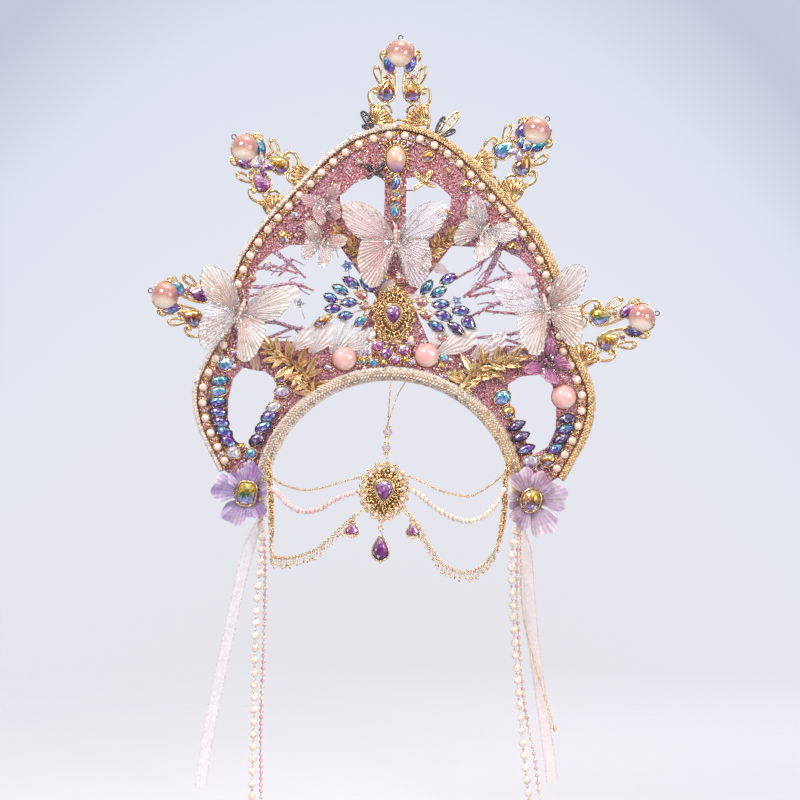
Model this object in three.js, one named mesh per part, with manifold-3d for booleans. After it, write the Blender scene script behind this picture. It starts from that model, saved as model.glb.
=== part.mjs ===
// Fairy crown: a pointed-arch glitter plate on a padded headband, with butterfly finials,
// stones, cloth butterflies, a brow jewel and hanging strands.
// Millimetres, +Z up, +X to the viewer's right, +Y to the back of the head.
// The origin is the middle of the headband's underside, where the crown sits on a head.

import * as THREE from 'three';
import { mergeVertices } from 'three/addons/utils/BufferGeometryUtils.js';
import Module from 'manifold-3d';

const wasm = await Module();
wasm.setup();

// ---------------------------------------------------------------- driving dimensions

const GAP = 0.3;                       // clearance between pieces that touch
const FLATNESS = 0.03;                 // facets closer to one plane than this are joined
const BAND_INNER = 89;                 // headband radius on the head
const BAND_THICK = 10;                 // padded thickness, radial
const BAND_WIDTH = 25;                 // front to back
const BAND_DROP = 7;                   // degrees that the band runs below its half circle
const BAND_CENTRE_Z = -BAND_INNER;
const BAND_OUTER = BAND_INNER + BAND_THICK;

const PLATE_THICK = 4;                 // glitter board, centred on Y = 0
const PLATE_FRONT = -PLATE_THICK / 2;
const SEAT = PLATE_FRONT - GAP;        // where ornaments lie on the board
const OUTLINE_STEPS = 27;              // pieces of each half of the board's outline
const ARC_STEPS = 20;                  // pieces of the arc over the headband

const BRAID_DEPTH = 12;                // edge braid, front to back
const TRIM_INSET = 1.2;                // pearl edging lies this far inside the outline
const TRIM_WIDTH = 5;
const TRIM_HEIGHT = 3;

const BALL_RADIUS = 10;
const FINIAL_REACH = 49;               // base of a finial to the centre of its ball
const FINIAL_THICK = 2.4;
const CABOCHON_RADIUS = 9.2;
const STONE_HEIGHT = 3;

const HEAD_HALF_WIDTH = 88;            // hair line that the brow chains lie on
const HEAD_HALF_DEPTH = 97;
const BROW_X = 4;                      // brow jewel's middle
const BROW_Y = -97;
const BROW_Z = -77;
const BROW_LEAN = -4;                  // degrees

const RING_RADIUS = 1.6;               // eye of the brow jewel and bail of its drop
const RING_WIRE = 0.4;

const BEAD_SIDES = 10;
const STRAND_PEARL = 5.8;              // the big hanging pearls, across
const STREAMER_WIDTH = 7.5;
const STREAMER_NECK = 3;
const STREAMER_THICK = 1;

// ---------------------------------------------------------------- colours

const COLOUR = {
  braid: [0xe3cfa0, 0.55, 0.35],
  glitter: [0xc77f9f, 0.5, 0.2],
  gold: [0xd9a441, 0.25, 1.0],
  pearl: [0xf1e0d4, 0.25, 0.0],
  catsEye: [0xe9a48d, 0.15, 0.0],
  rosy: [0xe08a8c, 0.15, 0.0],
  violetStone: [0x6a55b8, 0.1, 0.2],
  amethyst: [0x8a4aa0, 0.1, 0.1],
  pinkWing: [0xf0cfd4, 0.4, 0.0],
  whiteWing: [0xeee4e2, 0.4, 0.0],
  magentaWing: [0xb95cae, 0.4, 0.0],
  violetPetal: [0x9a84cf, 0.6, 0.0],
  mauvePetal: [0xb79ab8, 0.6, 0.0],
  pinkBead: [0xe6a3ae, 0.25, 0.0],
  organza: [0xeadfe6, 0.5, 0.0],
};

const group = new THREE.Group();

function add(name, colour, geometry) {
  const [color, roughness, metalness] = COLOUR[colour];
  const mesh = new THREE.Mesh(geometry, new THREE.MeshStandardMaterial({ color, roughness, metalness }));
  mesh.name = name;
  group.add(mesh);
}

// ---------------------------------------------------------------- solids

function toSolid(geometry) {
  const bare = geometry.clone();
  bare.deleteAttribute('normal');
  bare.deleteAttribute('uv');
  const merged = mergeVertices(bare, 1e-4);
  return new wasm.Manifold(new wasm.Mesh({
    numProp: 3,
    vertProperties: new Float32Array(merged.attributes.position.array),
    triVerts: new Uint32Array(merged.index.array),
  }));
}

function toGeometry(solid) {
  const mesh = solid.asOriginal().simplify(FLATNESS).getMesh();
  const geometry = new THREE.BufferGeometry();
  geometry.setAttribute('position', new THREE.BufferAttribute(new Float32Array(mesh.vertProperties), 3));
  geometry.setIndex(new THREE.BufferAttribute(new Uint32Array(mesh.triVerts), 1));
  geometry.computeVertexNormals();
  return geometry;
}

function fuse(...parts) {
  return toGeometry(parts.flat().map(toSolid).reduce((whole, part) => whole.add(part)));
}

function carve(geometry, ...tools) {
  const solids = tools.flat().map(toSolid);
  return toGeometry(solids.reduce((whole, tool) => whole.subtract(tool), toSolid(geometry)));
}

const radians = THREE.MathUtils.degToRad;

// Turns a piece by an angle seen from the front, counter-clockwise, and moves it to its place.
function place(geometry, { x = 0, y = 0, z = 0, turn = 0 }) {
  return geometry.rotateY(-radians(turn)).translate(x, y, z);
}

// A flat plate whose outline is drawn in X and Z. It runs from Y = front backwards.
function slab(points, thickness, front = 0) {
  const shape = new THREE.Shape(points.map(([x, z]) => new THREE.Vector2(x, z)));
  const geometry = new THREE.ExtrudeGeometry(shape, { depth: thickness, bevelEnabled: false });
  return geometry.rotateX(Math.PI / 2).translate(0, front + thickness, 0);
}

// A plate with openings cut right through it.
function piercedSlab(points, thickness, front, openings) {
  const punches = openings.map((hole) => slab(hole, 3 * thickness, front - thickness));
  return carve(slab(points, thickness, front), punches);
}

function ringPoints(count, point) {
  return Array.from({ length: count }, (_, i) => point((2 * Math.PI * i) / count, i));
}

// Widths that change evenly from the first point of a strip to its last.
function taper(points, start, end = start) {
  return points.map((_, i) => THREE.MathUtils.lerp(start, end, i / (points.length - 1)));
}

function mirrored(points) {
  return points.map(([x, z]) => [-x, z]);
}

// A tube of the given section along a smooth course, by default with a step for every 3 widths.
function tube(points, { width, height = width, sides = 8, pitch = 3 * width }) {
  const section = new THREE.Shape(ringPoints(sides, (a) => (
    new THREE.Vector2((width / 2) * Math.cos(a), (height / 2) * Math.sin(a)))));
  const course = new THREE.CatmullRomCurve3(points.map((p) => new THREE.Vector3(...p)));
  const steps = Math.ceil(course.getLength() / pitch);
  return new THREE.ExtrudeGeometry(section, { steps, bevelEnabled: false, extrudePath: course });
}

// Outline of a strip along a row of points in X and Z, with a width for each point.
function stripOutline(points, widths) {
  const sides = points.map(([x, z], i) => {
    const [ax, az] = points[Math.max(i - 1, 0)];
    const [bx, bz] = points[Math.min(i + 1, points.length - 1)];
    const length = Math.hypot(bx - ax, bz - az);
    const half = widths[i] / 2;
    const nx = (-(bz - az) / length) * half;
    const nz = ((bx - ax) / length) * half;
    return [[x + nx, z + nz], [x - nx, z - nz]];
  });
  return [...sides.map((s) => s[0]), ...sides.map((s) => s[1]).reverse()];
}

// ---------------------------------------------------------------- stones, domes and beads

// Unit outlines: an angle gives the place along and across the stone.
const CUT = {
  oval: (a) => [Math.cos(a), Math.sin(a)],
  marquise: (a) => [Math.cos(a), Math.sin(a) * Math.abs(Math.sin(a))],
  pear: (a) => [Math.cos(a), 1.3 * Math.sin(a) * Math.sin(a / 2)],
};

// A flat-backed cut stone with a table. Its back lies at Y = y and it faces the viewer.
function stone({ cut = 'oval', length, width, height = STONE_HEIGHT, sides = 8, ...at }) {
  const profile = [[0, 0], [1, 0], [0.58, height], [0, height]].map(([r, h]) => new THREE.Vector2(r, h));
  const geometry = new THREE.LatheGeometry(profile, sides);
  const position = geometry.attributes.position;
  for (let i = 0; i < position.count; i += 1) {
    const radius = Math.hypot(position.getX(i), position.getZ(i));
    const angle = (Math.atan2(position.getX(i), position.getZ(i)) + 2 * Math.PI) % (2 * Math.PI);
    const [along, across] = CUT[cut](angle);
    position.setXYZ(i, (along * radius * length) / 2, -position.getY(i), (across * radius * width) / 2);
  }
  return place(geometry, at);
}

// A domed stone or pearl with a flat back.
function dome({ length, width = length, height, sides = 12, rings = 3, ...at }) {
  const profile = [new THREE.Vector2(0, 0)];
  for (let i = 0; i <= rings; i += 1) {
    const lift = (i / rings) * (Math.PI / 2);
    profile.push(new THREE.Vector2(i === rings ? 0 : Math.cos(lift), height * Math.sin(lift)));
  }
  const geometry = new THREE.LatheGeometry(profile, sides).rotateX(Math.PI);
  return place(geometry.scale(length / 2, 1, width / 2), at);
}

// ---------------------------------------------------------------- the board's outline

// Right half of the outline, from the point of the arch down to the foot of the side loop.
const HALF_OUTLINE = [
  [0, 180.6], [25.5, 174.6], [46.2, 161], [72.4, 134.4], [97, 106.6], [110, 85.5], [117.5, 64],
  [122.5, 42], [125.2, 26], [131, 15.6], [140.4, -8], [137.6, -32], [120.5, -67],
];
const LAST = 2 * OUTLINE_STEPS;
const outlineCurve = new THREE.CatmullRomCurve3(
  [...mirrored(HALF_OUTLINE.slice(1)).reverse(), ...HALF_OUTLINE].map(([x, z]) => new THREE.Vector3(x, 0, z)),
);
const outlinePoints = outlineCurve.getSpacedPoints(LAST);

// Point i of the outline, moved outwards by the given offset.
function rimPoint(i, offset) {
  const before = outlinePoints[Math.max(i - 1, 0)];
  const after = outlinePoints[Math.min(i + 1, LAST)];
  const away = new THREE.Vector3(before.z - after.z, 0, after.x - before.x).normalize();
  return [outlinePoints[i].x + away.x * offset, outlinePoints[i].z + away.z * offset];
}

function rimRow(from, to, offset) {
  const row = [];
  for (let i = from; i <= to; i += 1) row.push(rimPoint(i, typeof offset === 'number' ? offset : offset(i)));
  return row;
}

// The edge braid is laid wider over the right shoulder of the arch than over the left.
const BRAID_WIDTH = [
  { at: 0, width: 3.2 }, { at: 0.3, width: 2.8 }, { at: 0.5, width: 3.8 },
  { at: 0.7, width: 5.8 }, { at: 1, width: 4.4 },
];

function braidWidth(i) {
  const at = i / LAST;
  const next = Math.max(1, BRAID_WIDTH.findIndex((row) => row.at >= at));
  const [a, b] = [BRAID_WIDTH[next - 1], BRAID_WIDTH[next]];
  return THREE.MathUtils.mapLinear(at, a.at, b.at, a.width, b.width);
}

function bandArc(radius, fromDegrees, toDegrees, steps) {
  return Array.from({ length: steps + 1 }, (_, i) => {
    const angle = radians(THREE.MathUtils.lerp(fromDegrees, toDegrees, i / steps));
    return [radius * Math.cos(angle), BAND_CENTRE_Z + radius * Math.sin(angle)];
  });
}

// ---------------------------------------------------------------- headband and board

function headband() {
  const middle = BAND_INNER + BAND_THICK / 2;
  const course = bandArc(middle, -BAND_DROP, 180 + BAND_DROP, 24).map(([x, z]) => [x, 0, z]);
  return tube(course, { width: BAND_WIDTH, height: BAND_THICK, sides: 12, pitch: 16 });
}

const LOOP_OPENING = [
  [83.5, -1], [92, 4.7], [108.5, 7], [115.5, -1], [118.5, -16], [118.5, -32], [113.2, -45],
  [103, -51], [97, -41], [90, -25], [84, -11],
];
const SIDE_WINDOW = [
  [27, 27], [103, 27], [106.5, 40], [104.5, 65], [98.5, 82], [90, 90], [76, 96.5], [41, 98], [12.5, 60],
];
const TOP_WINDOW = [[8, 104], [8, 146], [17, 148], [30, 142], [40, 133], [39, 123], [25, 104]];

// Twigs of the cut-out tracery, each from its root in the rim to its tip.
const TWIGS = [
  { root: 3.4, tip: 1.2, course: [[-94, 97], [-77, 84], [-64, 73]] },
  { root: 2, tip: 1, course: [[-74, 87], [-80, 78], [-84, 74]] },
  { root: 2.2, tip: 1.2, course: [[-103, 78], [-88, 81], [-70, 76]] },
  { root: 2.4, tip: 1.2, course: [[-108, 66], [-90, 66], [-74, 69], [-58, 64]] },
  { root: 2, tip: 1, course: [[-108, 58], [-94, 62], [-80, 60]] },
  { root: 3.2, tip: 1.4, course: [[-110, 40], [-88, 41], [-67, 36], [-48, 37]] },
  { root: 2.2, tip: 1.4, course: [[-100, 25], [-86, 31], [-73, 36.5]] },
  { root: 4.2, tip: 1.4, course: [[78, 101], [64, 72], [51, 62]] },
  { root: 2.4, tip: 1.2, course: [[76, 98], [60, 84], [44, 74]] },
  { root: 2.4, tip: 1.4, course: [[104, 79], [84, 77], [70, 73], [50, 61]] },
  { root: 2, tip: 1.2, course: [[86, 78], [79, 81], [75, 85]] },
  { root: 2.6, tip: 1.2, course: [[107, 72], [90, 66], [74, 66], [54, 61.5]] },
  { root: 3.6, tip: 1.4, course: [[109, 64], [90, 62], [74, 57], [55, 47]] },
  { root: 2, tip: 1.2, course: [[110, 50], [88, 50], [66, 51.5]] },
  { root: 2.8, tip: 1.4, course: [[109, 41], [96, 37.5], [76, 34], [56, 31.5]] },
  { root: 2, tip: 1.2, course: [[100, 25], [89, 29], [76, 33]] },
];

function crownPlate() {
  const foot = [110, -74];
  const arc = bandArc(BAND_OUTER + 1.5 * GAP, 10, 170, ARC_STEPS);
  const outline = [...rimRow(0, LAST, 0), foot, ...arc, ...mirrored([foot])];
  const openings = [LOOP_OPENING, SIDE_WINDOW, TOP_WINDOW].flatMap((hole) => [hole, mirrored(hole)]);
  const twigs = TWIGS.map(({ course, root, tip }) => (
    slab(stripOutline(course, taper(course, root, tip)), PLATE_THICK / 2, -PLATE_THICK / 4)));
  return fuse(piercedSlab(outline, PLATE_THICK, PLATE_FRONT, openings), twigs);
}

function edgeBraid(from, to) {
  const outer = rimRow(from, to, (i) => braidWidth(i));
  const inner = rimRow(from, to, GAP).reverse();
  return slab([...outer, ...inner], BRAID_DEPTH, -BRAID_DEPTH / 2);
}

function pearlEdging(from, to) {
  const outer = rimRow(from, to, -TRIM_INSET);
  const inner = rimRow(from, to, -TRIM_INSET - TRIM_WIDTH).reverse();
  return slab([...outer, ...inner], TRIM_HEIGHT, SEAT - TRIM_HEIGHT);
}

add('headband', 'braid', headband());
add('crown_plate', 'glitter', crownPlate());
add('edge_braid_left', 'braid', edgeBraid(0, OUTLINE_STEPS));
add('edge_braid_right', 'braid', edgeBraid(OUTLINE_STEPS, LAST).translate(GAP, 0, 0));
add('pearl_edging_left', 'pearl', pearlEdging(0, OUTLINE_STEPS));
add('pearl_edging_right', 'pearl', pearlEdging(OUTLINE_STEPS, LAST).translate(GAP, 0, 0));

// ---------------------------------------------------------------- finials

// Right wing of a finial: across from its middle, and up from the edge braid.
const FINIAL_WING = [
  [4.5, -3], [5, 2.5], [9, 8], [13.5, 11.5], [9.5, 13.5], [5.2, 15.5], [2.8, 20.5], [2.2, 27.6],
  [3.8, 35], [7.5, 46], [11.5, 51], [14, 50], [14.5, 43.5], [19.5, 39.5], [18.5, 34], [13.6, 28],
  [18.5, 26], [22.5, 21], [21, 15], [17, 12], [21, 8], [24, -8], [14, -6],
];
const FINIAL_GAPS = [
  [[13.4, 41.5], [17, 38.6], [14, 31.5], [11.6, 34]],
  [[14.6, 23.6], [19.2, 22], [18.6, 16.6], [14.4, 15]],
];
const FINIAL_STONES = [
  { cut: 'marquise', x: 7.6, z: 41.2, turn: 64, length: 13, width: 6.6 },
  { cut: 'pear', x: 8.6, z: 22.8, turn: 100, length: 14.5, width: 10.5 },
];
const FINIALS = [
  { name: 'top', x: 1.2, z: 235.8, heading: 90, reach: 49 },
  { name: 'upper_left', x: -110.1, z: 166.2, heading: 136, reach: 47 },
  { name: 'upper_right', x: 100.6, z: 181.4, heading: 50, reach: 46 },
  { name: 'lower_left', x: -166.1, z: 58.5, heading: 163, reach: 43 },
  { name: 'lower_right', x: 178.3, z: 48.7, heading: 18, reach: 50 },
];

function finialBall({ x, z }) {
  return new THREE.SphereGeometry(BALL_RADIUS, 12, 6).translate(x, 0, z);
}

function tipRing({ x, z, heading }) {
  const away = BALL_RADIUS + RING_RADIUS - 0.2;
  const ring = new THREE.TorusGeometry(RING_RADIUS, RING_WIRE, 5, 10).rotateX(Math.PI / 2);
  return ring.translate(x + away * Math.cos(radians(heading)), 0, z + away * Math.sin(radians(heading)));
}

function finialFrame({ x, z, heading, reach }) {
  const grow = reach / FINIAL_REACH;
  const front = -FINIAL_THICK / 2;
  const stretch = (points) => points.map(([u, v]) => [u, v * grow]);
  const wing = stretch(FINIAL_WING);
  const gaps = FINIAL_GAPS.map(stretch);
  const stones = FINIAL_STONES.flatMap((row) => [1, -1].map((side) => stone({
    ...row, x: side * row.x, y: front + 0.2, z: row.z * grow, turn: 90 + side * (row.turn - 90), height: 2.4,
  })));
  const rail = slab([[-9, -1.5], [9, -1.5], [9, 2.4], [-9, 2.4]], FINIAL_THICK, front);
  const frame = fuse(
    piercedSlab(wing, FINIAL_THICK, front, gaps),
    piercedSlab(mirrored(wing), FINIAL_THICK, front, gaps.map(mirrored)),
    rail,
    stones,
  );
  const base = [x - reach * Math.cos(radians(heading)), z - reach * Math.sin(radians(heading))];
  return place(frame, { x: base[0], z: base[1], turn: heading - 90 });
}

// The room that a ball takes in its frame.
function ballSpace({ x, z }) {
  const radius = (BALL_RADIUS + GAP) / Math.cos(Math.PI / 16);
  const circle = ringPoints(16, (a) => [x + radius * Math.cos(a), z + radius * Math.sin(a)]);
  return slab(circle, 2 * BALL_RADIUS, -BALL_RADIUS);
}

const braidSpace = slab(rimRow(0, LAST, (i) => braidWidth(i) + 2 * GAP), 2 * BRAID_DEPTH, -BRAID_DEPTH);
for (const finial of FINIALS) {
  add(`finial_ball_${finial.name}`, 'catsEye', fuse(finialBall(finial), tipRing(finial)));
  add(`finial_frame_${finial.name}`, 'gold',
    carve(finialFrame(finial), braidSpace, ballSpace(finial)));
}

// ---------------------------------------------------------------- medallions and stones on the board

// An openwork oval with a scalloped edge, a ring of gaps and a raised collar round its stone.
function medallion({ halfWidth, halfHeight, thick, gaps, stoneLength, stoneWidth, cut, ...at }) {
  const scallop = (a, i) => {
    const reach = i % 2 === 0 ? 0.92 : 1;
    return [halfWidth * reach * Math.cos(a), halfHeight * reach * Math.sin(a)];
  };
  const gapAt = (a) => ringPoints(4, (b) => [
    0.72 * halfWidth * Math.cos(a) + 0.12 * halfWidth * Math.cos(b),
    0.72 * halfHeight * Math.sin(a) + 0.1 * halfHeight * Math.sin(b)]);
  const plate = piercedSlab(ringPoints(20, scallop), thick, -thick, ringPoints(gaps, gapAt));
  const collar = stone({
    cut, y: -thick + 0.2, length: stoneLength + 3, width: stoneWidth + 3, height: 2, turn: -90,
  });
  const gem = stone({ cut, y: -thick - 0.6, length: stoneLength, width: stoneWidth, height: 3.4, turn: -90 });
  return place(fuse(plate, collar, gem), at);
}

add('centre_medallion', 'gold', medallion({
  halfWidth: 15.5, halfHeight: 21.5, thick: 3, gaps: 10, cut: 'pear',
  stoneLength: 14, stoneWidth: 10.5, x: 0.5, y: SEAT, z: 47.5,
}));

// Stones in fans on fine stems. Each stem runs from its stone to the stone named in "to", or to the hub.
const SPRAY_LEFT = [
  { cut: 'marquise', x: -30.4, z: 69.9, turn: -29, length: 14.4, width: 6.6, to: 4 },
  { cut: 'marquise', x: -18.6, z: 68.2, turn: -42, length: 14.4, width: 6.6, to: 8 },
  { cut: 'marquise', x: -38.1, z: 64.7, turn: -27, length: 13.5, width: 6.2, to: 3 },
  { cut: 'marquise', x: -31.6, z: 55.5, turn: 4, length: 13, width: 6.4, to: 8 },
  { cut: 'pear', x: -23.4, z: 61.6, turn: 160, length: 10, width: 6.4, to: 8 },
  { cut: 'marquise', x: -43.2, z: 51, turn: 4, length: 12.6, width: 6, to: 3 },
  { cut: 'marquise', x: -34.1, z: 46, turn: 8, length: 11.4, width: 5.8, to: -1 },
  { cut: 'marquise', x: -22.6, z: 42.4, turn: 40, length: 13, width: 6.4, to: -1 },
  { cut: 'oval', x: -20.4, z: 53.4, turn: 0, length: 6.5, width: 6, to: -1 },
  { cut: 'marquise', x: -45, z: 58.6, turn: -27, length: 11.4, width: 6, to: 3 },
  { cut: 'marquise', x: -50.2, z: 42.2, turn: 34, length: 16, width: 6.2, to: 6 },
];
const SPRAY_RIGHT = [
  { cut: 'marquise', x: 24.2, z: 67.5, turn: 52, length: 13.4, width: 6.4, to: 8 },
  { cut: 'marquise', x: 39.5, z: 73.8, turn: 26, length: 13.4, width: 6.6, to: 2 },
  { cut: 'marquise', x: 32.7, z: 64.1, turn: 30, length: 13.4, width: 6.4, to: 8 },
  { cut: 'marquise', x: 34.6, z: 55.4, turn: 6, length: 13.2, width: 6.6, to: 8 },
  { cut: 'marquise', x: 48.8, z: 51, turn: 0, length: 13.6, width: 6.6, to: 3 },
  { cut: 'marquise', x: 36.8, z: 47.2, turn: -20, length: 13.4, width: 6.6, to: 9 },
  { cut: 'marquise', x: 31.4, z: 39.6, turn: -26, length: 13.4, width: 6.2, to: 9 },
  { cut: 'marquise', x: 45.6, z: 38.4, turn: -34, length: 14.4, width: 6.6, to: 5 },
  { cut: 'oval', x: 21.2, z: 57.2, turn: 0, length: 8, width: 7, to: -1 },
  { cut: 'pear', x: 23.6, z: 48, turn: 170, length: 9.6, width: 7.4, to: -1 },
  { cut: 'pear', x: 55.4, z: 42.2, turn: -40, length: 12, width: 8, to: 4 },
];

// The hub is a joint of stems beside the medallion, and the root a place behind the medallion's edge.
function spray(rows, hub, root) {
  const back = SEAT - 3.6;
  const stones = rows.map((row) => stone({ ...row, y: back }));
  const stems = rows.map((row) => {
    const end = row.to < 0 ? hub : [rows[row.to].x, rows[row.to].z];
    return slab(stripOutline([[row.x, row.z], end], [1.2, 1.2]), 0.9, back - 0.1);
  });
  return fuse(stones, stems, slab(stripOutline([hub, root], [1.6, 2.4]), 0.9, back - 0.1));
}

const medallionSpace = slab(
  ringPoints(24, (a) => [0.5 + (15.5 + GAP) * Math.cos(a), 47.5 + (21.5 + GAP) * Math.sin(a)]), 12, -14);
add('stone_spray_left', 'violetStone', carve(spray(SPRAY_LEFT, [-19, 51], [-12, 54.8]), medallionSpace));
add('stone_spray_right', 'violetStone', carve(spray(SPRAY_RIGHT, [20.5, 52], [13, 51]), medallionSpace));

// Stones set close together on a shared strip of backing.
function stoneRow(rows, { cut = 'oval', length, width, backing = 5 }) {
  const course = rows.map((row) => [row.x, row.z]);
  const strip = slab(stripOutline(course, taper(course, backing)), 1, SEAT - 1);
  const stones = rows.map((row) => stone({ cut, length, width, y: SEAT - 0.8, ...row }));
  return fuse(strip, stones);
}

add('loop_stones_outer_left', 'violetStone', stoneRow([
  { x: -124.6, z: -2.6, turn: 12 }, { x: -125.4, z: -10.2, turn: 6 }, { x: -125.8, z: -17.8, turn: 2 },
  { x: -125, z: -25.2, turn: -6 }, { x: -123.2, z: -32.4, turn: -14 }, { x: -120.6, z: -39.4, turn: -20 },
  { x: -117.2, z: -46.2, turn: -28 }, { x: -113, z: -54.4, turn: -36, length: 11, width: 10 },
], { length: 12.5, width: 7 }));
add('loop_stones_inner_left', 'violetStone', stoneRow([
  { x: -79.2, z: 0.6, turn: 20, length: 11 }, { x: -78.6, z: -9.4, turn: 10, width: 8 },
  { x: -84.6, z: -20.6, turn: 30 }, { x: -88.2, z: -27.4, turn: 30 }, { x: -92.2, z: -35.4, turn: 32 },
  { x: -96.6, z: -44.4, turn: 34 }, { x: -100.6, z: -54.8, turn: 40, length: 9 },
], { length: 12, width: 7.6, backing: 4 }));
add('loop_stones_outer_right', 'violetStone', stoneRow([
  { x: 126.6, z: -24.6, turn: 8 }, { x: 125.4, z: -32.2, turn: 16 }, { x: 122.4, z: -39.4, turn: 24 },
  { x: 118.6, z: -46.4, turn: 30 }, { x: 113.4, z: -54.6, turn: 24, length: 11.6, width: 9 },
], { length: 13, width: 7, backing: 4 }));
add('loop_stones_inner_right', 'violetStone', stoneRow([
  { x: 80, z: -10.6, turn: 40, length: 12.5, width: 11 },
  { x: 84.6, z: -20.8, turn: 20, length: 9, width: 8 },
  { x: 90.4, z: -30.6, turn: 26 }, { x: 93.6, z: -38.4, turn: 24 }, { x: 97.4, z: -47, turn: 20 },
  { x: 100.8, z: -56, turn: 10, width: 9, length: 12.5 },
], { length: 14, width: 6.6, backing: 4 }));
add('amethyst_cluster', 'amethyst', stoneRow([
  { x: -10.6, z: 25, turn: 0 }, { x: -4, z: 19.4, turn: 45 }, { x: 2.5, z: 15, turn: 0, length: 7, width: 7 },
  { x: 8.6, z: 22, turn: 0 },
], { length: 8.6, width: 8.2, backing: 3 }));

const CABOCHONS = [
  { name: 'left', x: -34.6, z: 15.4 }, { name: 'middle', x: 25, z: 19 }, { name: 'loop', x: 124, z: -9 },
];
for (const { name, x, z } of CABOCHONS) {
  add(`cabochon_${name}`, 'rosy', dome({ length: 2 * CABOCHON_RADIUS, height: 7, sides: 14, x, y: SEAT, z }));
}

// The opal sits in a toothed gold collar with a short column of stones hanging under it.
function opalJewel() {
  const collar = ringPoints(20, (a, i) => {
    const reach = i % 2 === 0 ? 1 : 0.88;
    return [11 * reach * Math.cos(a), 159.5 + 13.5 * reach * Math.sin(a)];
  });
  const opal = dome({ length: 19.4, width: 14.4, height: 7, y: SEAT - 1.2, z: 159.5, turn: 90 });
  const column = stoneRow([
    { cut: 'marquise', x: 0, z: 142, turn: 90, length: 13, width: 6.4 },
    { x: 0.6, z: 135, length: 6.4, width: 6.4 }, { x: 0.4, z: 129, length: 8.6, width: 7 },
    { cut: 'pear', x: -0.4, z: 122.2, turn: 90, length: 10, width: 7 },
  ], { backing: 4 });
  return fuse(slab(collar, 2, SEAT - 2), opal, column);
}
add('opal_jewel', 'gold', opalJewel());

// ---------------------------------------------------------------- leaves, butterflies and flowers

function leafSpray({ stem, leaves, leafLength = 11 }) {
  const back = SEAT - 1.6;
  const stalk = slab(stripOutline(stem, taper(stem, 2, 1.2)), 1.6, back);
  const blades = leaves.map(({ x, z, turn }) => place(
    new THREE.OctahedronGeometry(1).scale(leafLength / 2, 1.1, 2).translate(leafLength / 2 - 1, 0, 0),
    { x, y: back, z, turn },
  ));
  return fuse(stalk, blades);
}

function fanLeaves(stem, turns) {
  return turns.map((turn, i) => {
    const at = (i / (turns.length - 1)) * (stem.length - 1);
    const from = Math.min(Math.floor(at), stem.length - 2);
    const between = (axis) => THREE.MathUtils.lerp(stem[from][axis], stem[from + 1][axis], at - from);
    const [x, z] = [0, 1].map(between);
    return { x, z, turn };
  });
}

const LEAF_SPRAYS = [
  { name: 'lower_left', stem: [[-52, -4], [-60, 6], [-72, 12], [-84, 18]],
    turns: [150, 20, 175, 60, 200, 75, 215, 100, 185, 130, 160] },
  { name: 'lower_right', stem: [[50, -2], [60, 8], [72, 12], [86, 15]],
    turns: [30, 160, 5, 120, -20, 105, -35, 80, -5, 50, 20] },
  { name: 'upper_left', stem: [[-18, 79], [-26, 91], [-38, 104]], turns: [95, 160, 85, 170, 90, 175, 130] },
  { name: 'upper_right', stem: [[18, 79], [26, 91], [38, 104]], turns: [85, 20, 95, 10, 90, 5, 50] },
];
for (const { name, stem, turns } of LEAF_SPRAYS) {
  add(`leaf_spray_${name}`, 'gold', leafSpray({ stem, leaves: fanLeaves(stem, turns) }));
}

// Right wings of a butterfly, for half a span of 1.
const WINGS = [
  [0.03, 0.12], [0.3, 0.5], [0.62, 0.68], [0.95, 0.66], [1, 0.48], [0.86, 0.2], [0.6, 0.02],
  [0.7, -0.2], [0.68, -0.55], [0.5, -0.82], [0.3, -0.78], [0.12, -0.4], [0.03, -0.15],
];
const BUTTERFLIES = [
  { name: 'centre', colour: 'pinkWing', x: 1, z: 100, halfSpan: 40, turn: 1, fold: 20 },
  { name: 'left', colour: 'whiteWing', x: -110.5, z: 45.9, halfSpan: 38, turn: -18, fold: 26 },
  { name: 'right', colour: 'whiteWing', x: 110.5, z: 53.5, halfSpan: 37, turn: 14, fold: 26 },
  { name: 'rose', colour: 'pinkWing', x: -50.7, z: 125.7, halfSpan: 16, turn: 20, fold: 24 },
  { name: 'blush', colour: 'pinkWing', x: -52.6, z: 97, halfSpan: 18, turn: -24, fold: 24 },
  { name: 'pearl', colour: 'whiteWing', x: 63.9, z: 108.6, halfSpan: 24, turn: -38, fold: 24 },
  { name: 'magenta', colour: 'magentaWing', x: 112.8, z: 14.5, halfSpan: 17, turn: 52, fold: 24 },
];

function butterfly({ x, z, halfSpan, turn, fold }) {
  const bodyRadius = Math.max(1.6, 0.07 * halfSpan);
  const outline = WINGS.map(([u, v]) => [u * halfSpan, v * halfSpan]);
  const right = slab(outline, 1, -0.5).rotateZ(-radians(fold));
  const left = slab(mirrored(outline), 1, -0.5).rotateZ(radians(fold));
  const body = new THREE.SphereGeometry(1, 6, 4).rotateX(Math.PI / 2)
    .scale(bodyRadius, bodyRadius, 0.34 * halfSpan);
  return place(fuse(body, right, left), { x, y: SEAT - bodyRadius, z, turn });
}
for (const row of BUTTERFLIES) add(`butterfly_${row.name}`, row.colour, butterfly(row));

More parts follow.
